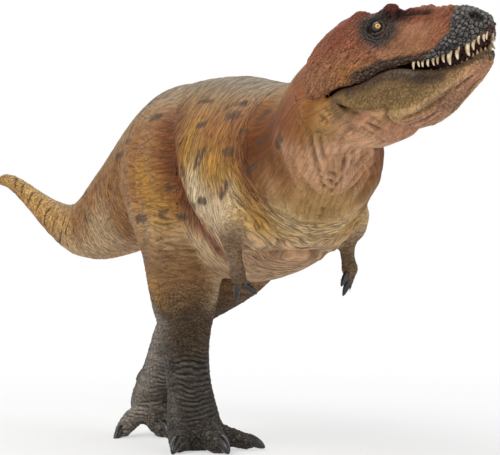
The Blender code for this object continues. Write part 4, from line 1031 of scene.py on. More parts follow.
def paint_body(skin, sketch):
    """The colours of the body: ochre and gold, a grey back, a pale belly, dark legs, spots and tail bars."""
    place = hip_place(skin.points)
    x, z = place[:, 0], place[:, 2]
    row, up, _ = along_axis(skin.points)
    rough = layered(place, 9.0, 3, 31)
    fine = layered(place, 2.0, 2, 33)
    paint = Paint(skin, OCHRE)
    up = up + 0.14 * rough
    paint.coat(smooth(0.35, 0.75, up) * 0.8, BACK)
    paint.coat(smooth(0.75, 0.95, up) * 0.8, BACK_GREY)
    paint.coat(smooth(-0.2, -0.6, up) * smooth(10, 12, row) * 0.8, CREAM)
    paint.coat(smooth(-0.7, -0.95, up) * 0.8, BELLY)
    shoulder = smooth(13.6, 14.6, row) * smooth(16.6, 15.4, row)
    paint.coat(shoulder * smooth(-0.5, 0.1, up) * smooth(0.9, 0.5, up) * 0.8, RUST)
    neck = smooth(15.6, 17, row)
    paint.coat(neck * smooth(-0.1, 0.4, up), RED_BROWN)
    paint.coat(neck * smooth(0.1, -0.4, up) * 0.8, NECK_PALE)
    paint.coat(neck * smooth(0.5, 0.9, up) * 0.5, CROWN)
    paint.spray_rows(sketch, BODY_SPRAYS + NECK_SPRAYS, "body")
    legs = limbs(skin, "leg")
    height = z + 2.5 * rough
    paint.coat(legs * smooth(74, 58, height), KNEE)
    paint.coat(legs * smooth(53, 40, height), SHANK)
    paint.coat(legs * smooth(36, 24, height), FOOT)
    shank = legs * smooth(46, 34, height) * smooth(8, -2, x)
    paint.coat(shank * smooth(0.0, 0.7, fine + 0.4) * 0.5, FOOT_GREY)
    paint.coat(legs * smooth(12, 4, z) * smooth(0.0, 0.6, fine) * 0.5, FOOT_GREY)
    arms = limbs(skin, "arm")
    paint.coat(arms * smooth(73, 64, z), ARM)
    paint.coat(arms * smooth(67, 58, z) * 0.5, ARM_DARK)
    paint.coat(arms * smooth(58, 51, z) * 0.8, ARM_DARK)
    paint.spray_rows(sketch, LEG_SPRAYS, None, legs)
    for x0, y0, x1, y1, radius in SPOT_PIXELS:
        for path in sketch.path([(x0, y0), (x1, y1)], "body"):
            paint.dab(path, radius, SPOT, 0.75)
    for pixels in STRIPE_PIXELS:
        for path in sketch.path(pixels, "body"):
            paint.dab(path, 0.75, STRIPE, 0.8)
    paint.colour *= 1 + 0.07 * rough[:, None] + 0.06 * fine[:, None]
    return paint


def paint_head(skin, sketch, eyes):
    """The colours of the head, over those of the body where the neck begins."""
    place = head_place(skin.points)
    f, l, u = place.T
    mask = smooth(0.35, 0.75, skin.fields["skull"])
    paint = paint_body(skin, sketch)
    fine = layered(place, 1.6, 3, 35)
    paint.coat(mask, RED_BROWN)
    paint.coat(mask * smooth(16, 19, u + fine) * smooth(24, 12, f) * 0.7, CROWN)
    paint.coat(mask * smooth(12, 7, u + fine) * smooth(30, 24, f), CHEEK)
    paint.spray_rows(sketch, HEAD_SPRAYS, "head")
    lip = smooth(2.9, 1.4, u - lip_height(f) + 0.6 * fine) * smooth(2, 7, f)
    paint.coat(mask * lip * 0.95, LIP, 0.3)
    near, _ = cells(place, *LIP_SCALES)
    # Painted highlights on the scales at the rear of the upper lip
    paint.coat(mask * lip * smooth(0.6, 0.3, near) * smooth(15, 8, f) * 0.28, LIP_HIGHLIGHT)
    dark = snout_share(place)
    near, second = snout_cells(place)
    gap = second - near
    paint.coat(mask * dark, SNOUT, 0.35)
    # Painted highlights on the rims and middles of the snout's scales, and paler towards the top of the snout
    paint.coat(mask * dark * smooth(0.05, 0.2, gap) * smooth(0.6, 0.3, gap) * 0.8, SNOUT_PALE_AND_HIGHLIGHT)
    paint.coat(mask * dark * smooth(0.3, 0.6, gap) * 0.3, SNOUT_PALE_AND_HIGHLIGHT)
    paint.coat(mask * dark * smooth(8.5, 12, u) * 0.5, SNOUT_PALE_AND_HIGHLIGHT)
    # Dark grey lids, and painted shade under the brow
    paint.spray_rows(sketch, EYE_SPRAYS, "head")
    inside = mask * smooth(0.2, 0.6, inward(skin)) * smooth(1.0, -0.2, np.abs(l) - mouth_half(f))
    inside *= smooth(3.4, 2.0, u - lip_height(f))
    paint.coat(inside, MOUTH, 0.5)
    # Painted shade in the socket round each eyeball, reaching onto the lid's inner rim
    for eye in eyes:
        d = np.linalg.norm(place - eye, axis=1)
        paint.coat(mask * smooth(1.9, 1.5, d), SOCKET_SHADE, 0.5)
    # Painted shade in the nostrils
    for sign in (-1, 1):
        paint.coat(mask * smooth(1.3, 0.9, from_nostril(place, sign)), NOSTRIL_SHADE)
    paint.colour *= 1 + 0.07 * fine[:, None]
    return paint


def mouth_half(f):
    """Half the mouth's width between the lips, at places along the head."""
    return np.interp(f, (0, 13, 21, 26, 31, 35, 38, 39.8), (11, 9.2, 7.8, 6.9, 5.8, 4.3, 2.6, 1))


def sculpt_jaw(skin):
    """Scales over the lower jaw and folds in the pouch below it, in millimetres."""
    place = head_place(skin.points)
    f, u = place[:, 0], place[:, 2]
    outside = smooth(0.3, -0.2, skin.normals() @ HEAD[:, 2])
    height = 0.12 * scales(place, 0.85, 10)
    lip = smooth(-2.6, -0.6, u - jaw_rim(f)) * smooth(3, 8, f)
    height += 0.24 * lip * lip_scales(place)
    height += 0.24 * creases(slanted(place, 0.88, -0.47), (9.0, 2.6, 1.3), 37, 2.4) * pouch_share(place)
    return height * outside * smooth(-1, 3, f)


def jaw_rim(f):
    """The height of the lower jaw's rim at places along the head."""
    places = (0, 6, 10, 13.5, 17, 21, 25, 30, 34, 38)
    return np.interp(f, places, (1.6, 1.2, 1.6, 2.2, 1.8, 0.6, -0.7, -1.0, -0.7, -0.4))


def pouch_share(place):
    """1 on the loose skin under the jaw."""
    places = (0, 2, 6, 10, 14, 22, 30, 36)
    edge = np.interp(place[:, 0], places, (-2.6, -4.8, -7.6, -9.4, -10.4, -10.4, -8.4, -6.0))
    return smooth(0.6, -0.8, place[:, 2] - edge - 0.5 * noise(place, 3.0, 47))


def paint_jaw(skin, sketch):
    """The colours of the lower jaw: yellow speckled with brown, a pale pouch, a dark red inside and painted
    shade at its rear.
    """
    place = head_place(skin.points)
    f, l, u = place.T
    rough = layered(place, 4.0, 3, 39)
    paint = Paint(skin, JAW_YELLOW)
    paint.spray_rows(sketch, JAW_SPRAYS, "head")
    near, _ = cells(place, 0.75, 14)
    under = u - jaw_rim(f)
    speckle = smooth(0.30, 0.50, near + 0.10 * rough) * smooth(-11.0, -8.0, under) * smooth(30, 24, f)
    paint.coat(speckle * 0.28, JAW_SPECKLE_AND_SHADE)
    pouch = pouch_share(place)
    paint.coat(pouch * 0.9, POUCH)
    paint.coat(smooth(-1.6, -0.5, under + 0.3 * rough) * 0.8, JAW_BROWN, 0.3)
    inside = smooth(0.1, 0.5, -inward(skin)) * smooth(0.6, -0.2, np.abs(l) - jaw_half(f) + 1.2)
    paint.coat(inside * smooth(6, 12, f), MOUTH, 0.5)
    # Painted shade on the rear of the jaw, where it sits in the throat
    paint.coat(smooth(1.0, -1.5, f) * 0.6, THROAT_SHADE)
    paint.colour *= 1 + 0.08 * rough[:, None]
    return paint


def jaw_half(f):
    """Half the lower jaw's width at places along the head."""
    places = (0, 10, 13.5, 17, 21, 25, 30, 34, 37, 38.5)
    return np.interp(f, places, (12, 11.4, 10.8, 9.6, 8.0, 6.3, 4.8, 3.4, 2.2, 1.2))


# How far back and up the rear of the jaw's skin is moved, so that it meets the skull's, in millimetres
JAW_SHIFT = (-2.1, 0, 0.4)


def raise_chin(skin):
    """Lifts the lower lip to the upper one, and in front to the upper teeth, and moves the jaw's rear."""
    f, l, u = head_place(skin.points).T
    places = (-2, 2, 12, 17, 31, 34, 36.5, 39)
    lift = np.interp(f, places, (0, 0.8, 0.9, 0.4, 0.4, 0.7, 1.2, 1.7)) * smooth(-3.2, -0.6, u)
    rim = smooth(1.5, 0.6, jaw_half(f) - np.abs(l))
    skin.points += HEAD[:, 2] * (lift * rim * MM)[:, None]
    skin.points += (HEAD @ JAW_SHIFT) * (smooth(5, -1, f) * MM)[:, None]


def wash_and_shade(skin, paint, relief, depth, rounds=5):
    """Dark paint and painted shade in the grooves, and paint rubbed off the tops of the folds, with painted
    highlights there.
    """
    hollow = relief - skin.blurred(relief, rounds)
    dark = smooth(0.0, -depth, hollow)[:, None]
    light = smooth(0.0, depth, hollow)[:, None]
    # The grooves get painted shade and the tops painted highlights, along with the dark and the rubbed paint
    paint.colour *= 1 - GROOVE_WASH_AND_SHADE * dark
    paint.colour += (1 - paint.colour) * TOP_RUB_AND_HIGHLIGHT * light
    grey = paint.colour.mean(axis=1)[:, None]
    paint.colour = np.clip(grey + (paint.colour - grey) * COLOUR_GAIN, 0, 1)


def stay_inside(points):
    """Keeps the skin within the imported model's box."""
    low, high = (np.array(corner) for corner in CAD_BOX)
    np.clip(points, low + MARGIN, high - MARGIN, out=points)


def mesh_of(name, points, quads, triangles=(), normals=None):
    """A mesh object from arrays, smooth, with the given normals."""
    mesh = bpy.data.meshes.new(name)
    triangles = np.array(triangles, int).reshape(-1, 3)
    quads = np.array(quads, int).reshape(-1, 4)
    loops = np.concatenate([quads.ravel(), triangles.ravel()])
    starts = np.concatenate([np.arange(len(quads)) * 4, len(quads) * 4 + np.arange(len(triangles)) * 3])
    mesh.vertices.add(len(points))
    mesh.vertices.foreach_set("co", np.ascontiguousarray(points, np.float32).ravel())
    mesh.loops.add(len(loops))
    mesh.loops.foreach_set("vertex_index", loops.astype(np.int32))
    mesh.polygons.add(len(starts))
    mesh.polygons.foreach_set("loop_start", starts.astype(np.int32))
    mesh.update(calc_edges=True)
    mesh.polygons.foreach_set("use_smooth", np.ones(len(starts), bool))
    if normals is not None:
        mesh.normals_split_custom_set_from_vertices(normals.tolist())
    return add_object(name, mesh)


def closing(skin):
    """A fan of triangles over each open edge loop, about a new point in its middle."""
    centres = {}
    ends = sides(skin.faces)
    count = len(skin.points)
    code = ends[:, 0] * count + ends[:, 1]
    back = ends[:, 1] * count + ends[:, 0]
    lone = ends[~np.isin(code, back)]
    parent = {int(v): int(v) for v in np.unique(lone)}

    def root(v):
        while parent[v] != v:
            parent[v] = parent[parent[v]]
            v = parent[v]
        return v

    for a, b in lone:
        parent[root(int(a))] = root(int(b))
    middles, triangles = [], []
    for a, b in lone:
        key = root(int(a))
        if key not in centres:
            centres[key] = count + len(middles)
            members = [v for v in parent if root(v) == key]
            middles.append(skin.points[members].mean(axis=0))
        triangles.append((b, a, centres[key]))
    return np.array(middles).reshape(-1, 3), triangles


def flow_of(name, points):
    """Each point's place in the pattern of fine wrinkles, which run round the trunk and the limbs."""
    place = hip_place(points)
    if name.endswith("leg"):
        return (place + (0, 0, 2.4) * noise(place, 14.0, 41)[:, None]) / (8.0, 8.0, 1.3)
    if name.endswith("arm"):
        return place / (2.6, 2.6, 1.0)
    if name in ("skull", "lower_jaw"):
        return slanted(head_place(points), 0.8, 0.6) / (3.0, 2.0, 0.9)
    if name == "neck":
        return waved(fold_place(points), place) / (15.0, 1.5, 1.5)
    return fold_place(points) / (1.3, 5.5, 5.5)


def dress(skin, paint, name, body, node, finish):
    """Makes a skin one closed piece that stands for a CAD node."""
    middles, triangles = closing(skin)
    points = np.concatenate([skin.points, middles])
    normals = np.concatenate([skin.normals(), np.tile((0, 0, 1.0), (len(middles), 1))])
    piece = mesh_of(name, points, skin.faces, triangles, normals)
    colours = np.ones((len(points), 4), np.float32)
    colours[: len(paint.colour), :3] = linear_of(np.clip(paint.colour, 0.01, 0.98))
    gloss = np.zeros(len(points), np.float32)
    gloss[: len(paint.gloss)] = paint.gloss
    flow = flow_of(node, points).astype(np.float32)
    for key, kind, field, values in (
        ("paint", "FLOAT_COLOR", "color", colours),
        ("gloss", "FLOAT", "value", gloss),
        ("flow", "FLOAT_VECTOR", "vector", flow),
    ):
        piece.data.attributes.new(key, kind, "POINT").data.foreach_set(field, values.ravel())
    piece.data.materials.append(finish)
    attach(piece, body)
    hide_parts(node)


class Nodes:
    """Adds and links the nodes of a material or a world, round its shader."""

    def __init__(self, owner, shader="Principled BSDF"):
        owner.use_nodes = True
        self.owner = owner
        self.tree = owner.node_tree
        self.shader = self.tree.nodes[shader]

    def fill(self, node, inputs):
        """Sets a node's inputs, or links other nodes' outputs to them."""
        for key, value in inputs.items():
            if isinstance(value, bpy.types.NodeSocket):
                self.tree.links.new(value, node.inputs[key])
            else:
                node.inputs[key].default_value = value
        return node

    def add(self, kind, inputs, **settings):
        node = self.tree.nodes.new("ShaderNode" + kind)
        for key, value in settings.items():
            setattr(node, key, value)
        return self.fill(node, inputs)

    def place(self):
        """Each point's place on its own piece."""
        return self.add("TexCoord", {}).outputs["Object"]

    def stored(self, key):
        """Values stored at each point of the piece."""
        return self.add("Attribute", {}, attribute_name=key).outputs

    def math(self, operation, a, b=0.0):
        return self.add("Math", {0: a, 1: b}, operation=operation).outputs[0]

    def ramp(self, value, low, high, to_low=0.0, to_high=1.0):
        inputs = {"Value": value, "From Min": low, "From Max": high, "To Min": to_low, "To Max": to_high}
        return self.add("MapRange", inputs).outputs[0]

    def patches(self, place, size, detail=2.0):
        return self.add("TexNoise", {"Vector": place, "Scale": 1 / size, "Detail": detail}).outputs[0]

    def mixed(self, share, colour, other):
        """A colour that turns into another one as the share rises from 0 to 1."""
        return self.add("Mix", {"Factor": share, 6: colour, 7: other}, data_type="RGBA").outputs[2]

    def bump(self, height, distance, strength=1.0):
        inputs = {"Height": height, "Distance": distance, "Strength": strength}
        return self.add("Bump", inputs).outputs["Normal"]

    def seen(self):
        """1 where a surface is looked at, straight or in a reflection, and 0 where it only lights."""
        rays = self.add("LightPath", {}).outputs
        return self.math("MAXIMUM", rays["Is Camera Ray"], rays["Is Glossy Ray"])


def skin_finish(name, pebble, depth, roughness, lines):
    """Painted vinyl: the sprayed colour, mottled, over fine wrinkles and scales, darker in their grooves with
    dark paint and painted shade.
    """
    nodes = Nodes(bpy.data.materials.new(name))
    place = nodes.place()
    paint, gloss, flow = (nodes.stored(key) for key in ("paint", "gloss", "flow"))
    spread = {"Vector": place, "Scale": 1 / (pebble * MM)}
    pebbles = nodes.add("TexVoronoi", spread, feature="DISTANCE_TO_EDGE")
    mottle = nodes.patches(place, 2.2 * MM, 4)
    grain = nodes.patches(place, 0.35 * MM)
    winding = {"Vector": flow["Vector"], "Scale": 1, "Detail": 2, "Distortion": 0.3}
    folds = nodes.add("TexNoise", winding)
    offset = nodes.math("ABSOLUTE", nodes.math("SUBTRACT", folds.outputs[0], 0.5))
    crest = nodes.ramp(offset, 0.0, 0.10)
    gap = nodes.ramp(pebbles.outputs["Distance"], 0.0, 0.16)
    uneven = nodes.ramp(mottle, 0.3, 0.7, 0.88, 1.12)
    # Painted shade in the gaps between the pebbles and along the wrinkle lines, together with the dark paint
    # held there
    shade = nodes.math("MULTIPLY", nodes.ramp(gap, 0, 1, 0.80, 1.04), uneven)
    shade = nodes.math("MULTIPLY", shade, nodes.ramp(crest, 0, 1, 1 - lines, 1 + 0.25 * lines))
    colour = nodes.add("VectorMath", {0: paint["Color"], "Scale": shade}, operation="SCALE")
    worn = nodes.ramp(mottle, 0.3, 0.7, roughness - 0.06, roughness + 0.08)
    shiny = nodes.math("MULTIPLY", gloss["Fac"], 0.22)
    rise = nodes.math("ADD", gap, nodes.ramp(grain, 0.3, 0.7, 0, 0.35))
    height = nodes.math("ADD", rise, nodes.math("MULTIPLY", crest, 4 * lines))
    surface = {
        "Base Color": colour.outputs[0],
        "Roughness": nodes.math("SUBTRACT", worn, shiny),
        "Normal": nodes.bump(height, depth * MM, 0.8),
        "Specular IOR Level": 0.14,
    }
    nodes.fill(nodes.shader, surface)
    return nodes.owner


def loft(rings):
    """Points and faces of a tube through rings, with a point closing each end."""
    count = len(rings[0])
    points = [p for ring in rings for p in ring]
    quads = []
    for k in range(len(rings) - 1):
        for i in range(count):
            j = (i + 1) % count
            quads.append((k * count + i, k * count + j, (k + 1) * count + j, (k + 1) * count + i))
    first, last = len(points), len(points) + 1
    points += [np.mean(rings[0], axis=0), np.mean(rings[-1], axis=0)]
    triangles = []
    for i in range(count):
        j = (i + 1) % count
        triangles.append((j, i, first))
        base = (len(rings) - 1) * count
        triangles.append((base + i, base + j, last))
    return points, quads, triangles


def horn(path, widths, flat, corners, side):
    """A curved cone as a loft, flattened along its side: a tooth or a claw."""
    path = [np.array(p, float) for p in path]
    side = np.array(side, float)
    rings = []
    for k, (point, width) in enumerate(zip(path, widths)):
        forward = path[min(k + 1, len(path) - 1)] - path[max(k - 1, 0)]
        forward /= np.linalg.norm(forward)
        across = side - forward * (side @ forward)
        across /= np.linalg.norm(across)
        over = np.cross(forward, across)
        angles = np.arange(corners) * 2 * math.pi / corners
        rings.append([point + width * (math.cos(a) * across * flat + math.sin(a) * over) for a in angles])
    return loft(rings)


def joined(shapes):
    """Several lofts as one."""
    points, quads, triangles = [], [], []
    for more_points, more_quads, more_triangles in shapes:
        base = len(points)
        points += more_points
        quads += [tuple(i + base for i in face) for face in more_quads]
        triangles += [tuple(i + base for i in face) for face in more_triangles]
    return points, quads, triangles


# Teeth: place along the head of each, how far it shows below the lip, and its width
UPPER_TEETH = (
    (21.5, 1.7, 0.85), (22.6, 1.4, 0.75), (23.8, 1.5, 0.85), (25.1, 1.7, 0.9), (26.4, 1.8, 0.85),
    (27.7, 1.8, 0.9), (28.95, 2.0, 0.95), (30.7, 3.2, 1.35), (32.65, 2.7, 1.25), (34.9, 3.2, 1.35),
    (36.4, 2.4, 1.05), (37.4, 1.8, 0.9), (38.3, 1.6, 0.85), (38.9, 1.4, 0.75),
)
LOWER_TEETH = (
    (24.0, 0.3, 0.8), (26.0, 0.3, 0.8), (28.0, 0.3, 0.8), (29.8, 0.4, 0.8), (31.5, 0.5, 0.9),
    (33.0, 0.8, 0.9), (34.4, 1.2, 0.95), (35.6, 1.5, 1.0), (36.6, 1.5, 0.9), (37.3, 1.3, 0.8),
)
# How deep the teeth's roots reach into the gum
ROOT_DEPTH = 0.9


def upper_root(f):
    """How far out from the middle an upper tooth's root is, and the height of the lip there."""
    side = np.interp(f, (21, 26, 31, 35, 37.4, 38.9), (8.7, 7.5, 6.1, 4.3, 2.9, 1.2))
    return side, lip_height(f)


def lower_root(f):
    """The same for a lower tooth, inside the lower jaw's rim."""
    return jaw_half(f) - 1.3, jaw_rim(f) + np.interp(f, (31, 34, 36.5), (0, 0.4, 0.9))


def settle_piece(piece, finish, body, node=None):
    """Gives a closed piece its finish and body, and hides the node that it stands for."""
    piece.data.materials.append(finish)
    face_outward(piece)
    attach(piece, body)
    if node:
        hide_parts(node)


def teeth(name, rows, root_of, sense, splay, body, finish):
    """The teeth of one jaw, each a curved cone with a rounded tip."""
    shapes = []
    for number, (f, shown, width) in enumerate(rows):
        side, height = root_of(f)
        length = shown + ROOT_DEPTH
        for sign in (-1, 1):
            root = np.array((f, sign * side, height - sense * ROOT_DEPTH))
            turn = 0.10 * math.sin(number * 2.4 + sign)
            path, widths = [], []
            for t in np.linspace(0, 1, 10):
                lean = (-0.16 * math.sin(math.pi * t * 0.9) + turn * t) * length
                path.append(from_head(root + (lean, sign * splay * length * t * t, sense * length * t)))
                widths.append(width * 0.5 * MM * math.sqrt(max(1 - t**1.9, 0.02)))
            shapes.append(horn(path, widths, 0.75, 12, HEAD[:, 1]))
    row = mesh_of(name + "_visible", *joined(shapes))
    settle_piece(row, finish, body, name)


def gum(name, rows, root_of, sense, body, finish):
    """The strip of gum that the teeth of one jaw stand in."""
    line = []
    for f in np.linspace(rows[0][0] - 0.8, rows[-1][0] - 0.6, 24):
        side, height = root_of(f)
        line.append((f, -side + 0.35, height - sense * (ROOT_DEPTH + 0.1)))
    line += [(f, -side, height) for f, side, height in line[::-1]]
    path = [from_head(place) for place in curve(line, 2)]
    strip = mesh_of(name + "_gum", *horn(path, [0.62 * MM] * len(path), 0.9, 12, HEAD[:, 2]))
    settle_piece(strip, finish, body)


def linear_of(colour):
    """Screen colours, from 0 to 1, as amounts of light."""
    return ((np.array(colour) + 0.055) / 1.055) ** 2.4


def opaque(colour):
    return (*linear_of(colour).tolist(), 1)


# Plain finishes: two colours, the size of their patches in millimetres, roughness, and depth in millimetres
PLAIN = {
    "tooth_paint": ((0.86, 0.80, 0.66), (0.62, 0.50, 0.36), 1.4, 0.32, 0.02),
    "mouth_paint": ((0.40, 0.20, 0.17), (0.26, 0.12, 0.10), 1.2, 0.38, 0.05),
    "claw_paint": ((0.15, 0.135, 0.125), (0.06, 0.055, 0.05), 1.6, 0.26, 0.06),
    "pin_steel": ((0.62, 0.60, 0.58), (0.50, 0.48, 0.46), 1.0, 0.30, 0.02),
}


def plain_finish(name, colour, dark, size, roughness, depth):
    """A finish that runs between two colours in soft patches, slightly uneven."""
    nodes = Nodes(bpy.data.materials.new(name))
    patches = nodes.patches(nodes.place(), size * MM, 5)
    surface = {
        "Base Color": nodes.mixed(nodes.ramp(patches, 0.35, 0.6), opaque(dark), opaque(colour)),
        "Roughness": nodes.ramp(patches, 0.3, 0.7, roughness, roughness + 0.1),
        "Normal": nodes.bump(patches, depth * MM),
    }
    nodes.fill(nodes.shader, surface)
    return nodes.owner


# The left eye: its socket in the head's frame, where it looks, and its ball, set a little further in
EYE_PLACE = (12.9, 9.6, 14.2)
EYE_LOOK = (0.62, 0.78, -0.04)
EYE_RADIUS = 1.48
EYE_INSET = 0.1
EYE_RINGS = 28
EYE_CORNERS = 32


def eye_centres():
    return [on_side(EYE_PLACE, sign) for sign in (-1, 1)]


def make_eye(name, sign, finish):
    """An eyeball with a bulging cornea, turned so that its own third axis is the one it looks along."""
    centre = from_head(on_side(EYE_PLACE, sign) - (0, sign * EYE_INSET, 0))
    outward = HEAD @ on_side(EYE_LOOK, sign)
    outward /= np.linalg.norm(outward)
    upward = HEAD[:, 2] - outward * (HEAD[:, 2] @ outward)
    upward /= np.linalg.norm(upward)
    across = np.cross(upward, outward)
    rings = []
    turns = np.arange(EYE_CORNERS) * 2 * math.pi / EYE_CORNERS
    for angle in np.linspace(0.06, math.pi - 0.06, EYE_RINGS):
        bulge = 1 + 0.07 * math.exp(-((angle / 0.55) ** 2))
        size = EYE_RADIUS * MM * math.sin(angle)
        out = EYE_RADIUS * MM * math.cos(angle) * bulge
        rings.append([np.array((size * math.cos(t), size * math.sin(t), out)) for t in turns])
    eye = mesh_of(name + "_ball", *loft(rings[::-1]))
    turn = Matrix([list(row) for row in np.stack([across, upward, outward], axis=1)])
    eye.matrix_world = Matrix.Translation(Vector(centre)) @ turn.to_4x4()
    settle_piece(eye, finish, "figure", name)


def eye_finish():
    """A glossy eye: a golden iris with streaks, a dark pupil, and near black round them."""
    nodes = Nodes(bpy.data.materials.new("eye_paint"))
    place = nodes.place()
    split = nodes.add("SeparateXYZ", {0: place}).outputs
    x, y = split["X"], split["Y"]
    square = nodes.math("ADD", nodes.math("MULTIPLY", x, x), nodes.math("MULTIPLY", y, y))
    radius = nodes.math("SQRT", square)
    streaks = nodes.math("MULTIPLY", nodes.patches(place, 0.25 * MM), 0.3 * MM)
    uneven = nodes.math("ADD", radius, streaks)
    iris = nodes.add("ValToRGB", {0: nodes.ramp(uneven, 0.35 * MM, 1.0 * MM)})
    for stop, colour in zip(iris.color_ramp.elements, ((0.92, 0.74, 0.20), (0.58, 0.30, 0.06))):
        stop.color = opaque(colour)
    rim = nodes.ramp(radius, 0.62 * MM, 0.76 * MM)
    pupil = nodes.ramp(radius, 0.29 * MM, 0.22 * MM)
    black = (0.012, 0.009, 0.008, 1)
    surface = {
        "Base Color": nodes.mixed(nodes.math("MAXIMUM", rim, pupil), iris.outputs["Color"], black),
        "Roughness": 0.22,
        "Coat Weight": 0.25,
        "Coat Roughness": 0.06,
    }
    nodes.fill(nodes.shader, surface)
    return nodes.owner


# The tongue's rings from rear to tip, and the points of each
TONGUE_RINGS = 16
TONGUE_CORNERS = 28


def make_tongue(finish):
    """A tongue that lies in the trough of the jaw, with a groove along its top."""
    rings = []
    for t in np.linspace(0, 1, TONGUE_RINGS):
        f = 18.2 + 11.6 * t
        width = 3.1 * (1 - 0.55 * t**3) * math.sqrt(max(1 - t**8, 0.05))
        thick = 0.75 * (1 - 0.4 * t**2)
        floor = np.interp(f, (17.5, 21, 26, 30), (-1.4, -2.0, -2.7, -2.6))
        ring = []
        for k in range(TONGUE_CORNERS):
            a = 2 * math.pi * k / TONGUE_CORNERS
            groove = 0.28 * math.exp(-((math.cos(a) / 0.22) ** 2)) * (math.sin(a) > 0)
            ring.append(from_head((f, width * math.cos(a), floor + thick * math.sin(a) - groove)))
        rings.append(ring)
    tongue = mesh_of("tongue_visible", *loft(rings))
    settle_piece(tongue, finish, "jaw", "tongue")


# Claws, in millimetres: root ahead of the hips, to the left and above the floor, direction, length, width
CLAWS = {
    ("right_foot_claws", "right_leg"): (
        ((11.0, 7.7, 3.3), (0.51, 0.82, -0.25), 5.6, 4.0),
        ((18.7, -3.9, 3.6), (0.94, 0.13, -0.31), 5.8, 4.8),
        ((12.6, -15.6, 3.5), (0.73, -0.57, -0.37), 5.6, 4.4),
    ),
    ("left_foot_claws", "left_leg"): (
        ((-40.3, -18.1, 2.9), (0.56, -0.64, -0.52), 5.4, 4.0),
        ((-35.8, -4.9, 3.7), (0.85, 0.15, -0.50), 5.6, 4.8),
        ((-37.8, 7.8, 3.5), (0.56, 0.75, -0.34), 5.6, 4.4),
    ),
    ("right_hand_claws", "right_arm"): (
        ((70.8, -17.0, 52.2), (0.10, -0.16, -0.98), 3.6, 2.2),
        ((71.7, -15.4, 52.4), (0.36, 0.80, -0.42), 3.9, 2.2),
    ),
    ("left_hand_claws", "left_arm"): (
        ((71.1, 16.6, 53.6), (0.10, -0.52, -0.85), 4.2, 2.3),
        ((72.1, 15.4, 55.4), (0.42, -0.62, -0.66), 4.0, 2.3),
    ),
}


def make_claws(name, rows, finish):
    """Curved claws over the ends of the toes or the fingers of one limb, which stay above the floor."""
    shapes = []
    for root, direction, length, width in rows:
        root, direction = np.array(root), np.array(direction)
        direction = direction / np.linalg.norm(direction)
        path, widths = [], []
        for t in np.linspace(0, 1, 12):
            drop = 0.20 * length * t * t
            path.append(HIP + (root + direction * length * t - (0, 0, drop)) * MM)
            widths.append(width * 0.5 * MM * math.sqrt(max(1 - t**1.7, 0.02)))
        side = np.cross(direction, (0, 0, 1))
        shapes.append(horn(path, widths, 0.78, 16, side))
    points, quads, triangles = joined(shapes)
    points = np.array(points)
    points[:, 2] = np.maximum(points[:, 2], CAD_BOX[0][2] + MARGIN)
    settle_piece(mesh_of(name, points, quads, triangles), finish, "figure")


def face_outward(piece):
    """Turns the faces so that they point out of a closed shape."""
    shape = bmesh.new()
    shape.from_mesh(piece.data)
    bmesh.ops.recalc_face_normals(shape, faces=shape.faces)
    shape.to_mesh(piece.data)
    shape.free()
    piece.data.polygons.foreach_set("use_smooth", np.ones(len(piece.data.polygons), bool))


def make_floor():
    """White paper that glows where it is looked at, less so near the figure."""
    half = 4.0
    mesh = bpy.data.meshes.new("floor")
    corners = [(-half, -half, 0), (half, -half, 0), (half, half, 0), (-half, half, 0)]
    mesh.from_pydata(corners, [], [(0, 1, 2, 3)])
    nodes = Nodes(bpy.data.materials.new("floor_paper"))
    nodes.fill(nodes.shader, {"Base Color": (0.86, 0.86, 0.86, 1), "Roughness": 0.8})
    spread = nodes.add("VectorMath", {0: nodes.place()}, operation="LENGTH").outputs["Value"]
    share = nodes.math("MULTIPLY", nodes.ramp(spread, 0.10, 0.40, 0.5, 1.0), nodes.seen())
    glow = nodes.add("Emission", {}).outputs[0]
    mix = nodes.add("MixShader", {0: share, 1: nodes.shader.outputs[0], 2: glow})
    nodes.fill(nodes.tree.nodes["Material Output"], {"Surface": mix.outputs[0]})
    mesh.materials.append(nodes.owner)
    add_object("floor", mesh)


def make_world():
    """White surroundings, dimmer as a light than they look."""
    nodes = Nodes(bpy.data.worlds.new("studio"), "Background")
    strength = nodes.ramp(nodes.seen(), 0, 1, 0.55, 1.0)
    nodes.fill(nodes.shader, {"Color": (1, 1, 1, 1), "Strength": strength})
    bpy.context.scene.world = nodes.owner


def add_light(name, place, power, size):
    """A soft square light aimed at the figure's middle, at a place in metres from the hips on the floor."""
    data = bpy.data.lights.new(name, "AREA")
    data.energy = power
    data.size = size
    light = add_object(name, data)
    at = Vector(HIP) + Vector(place)
    target = Vector(HIP) + Vector((0, 0, 0.07))
    light.location = at
    light.rotation_euler = (target - at).to_track_quat("-Z", "Y").to_euler()


def sculpt_body():
    """The skin over the nodes of the body, smoothed and marked, and the number of the node of each face."""
    body = remeshed(BODY_NODES, BODY_VOXEL)
    label(body)
    weight = sum(body.fields[name] * share for name, share in RELAX_SHARES.items())
    body.relax(weight, BODY_ROUNDS)
    shoulders = limbs(body, "arm")
    body.relax(shoulders * smooth(64, 70, hip_place(body.points)[:, 2]) * 0.9, SHOULDER_ROUNDS)
    body.swell(-GROWTH / MM)
    sketch = Sketch(body)
    marks = sculpt_marks(body, sketch, NECK_MARKS + BODY_MARKS, "body")
    marks += sculpt_marks(body, sketch, HEAD_MARKS, "head")
    marks += sculpt_marks(body, sketch, THROAT_MARKS, None)
    body.swell(marks)
    body.fields["relief"] = marks * MARK_SHARE
    return body, np.median(body.fields["node"][body.faces], axis=1).astype(int)


def kind_of(node):
    """The finish that a node of the body has."""
    if node.endswith(("leg", "arm")):
        return "limb"
    return "neck" if node == "neck" else "body"


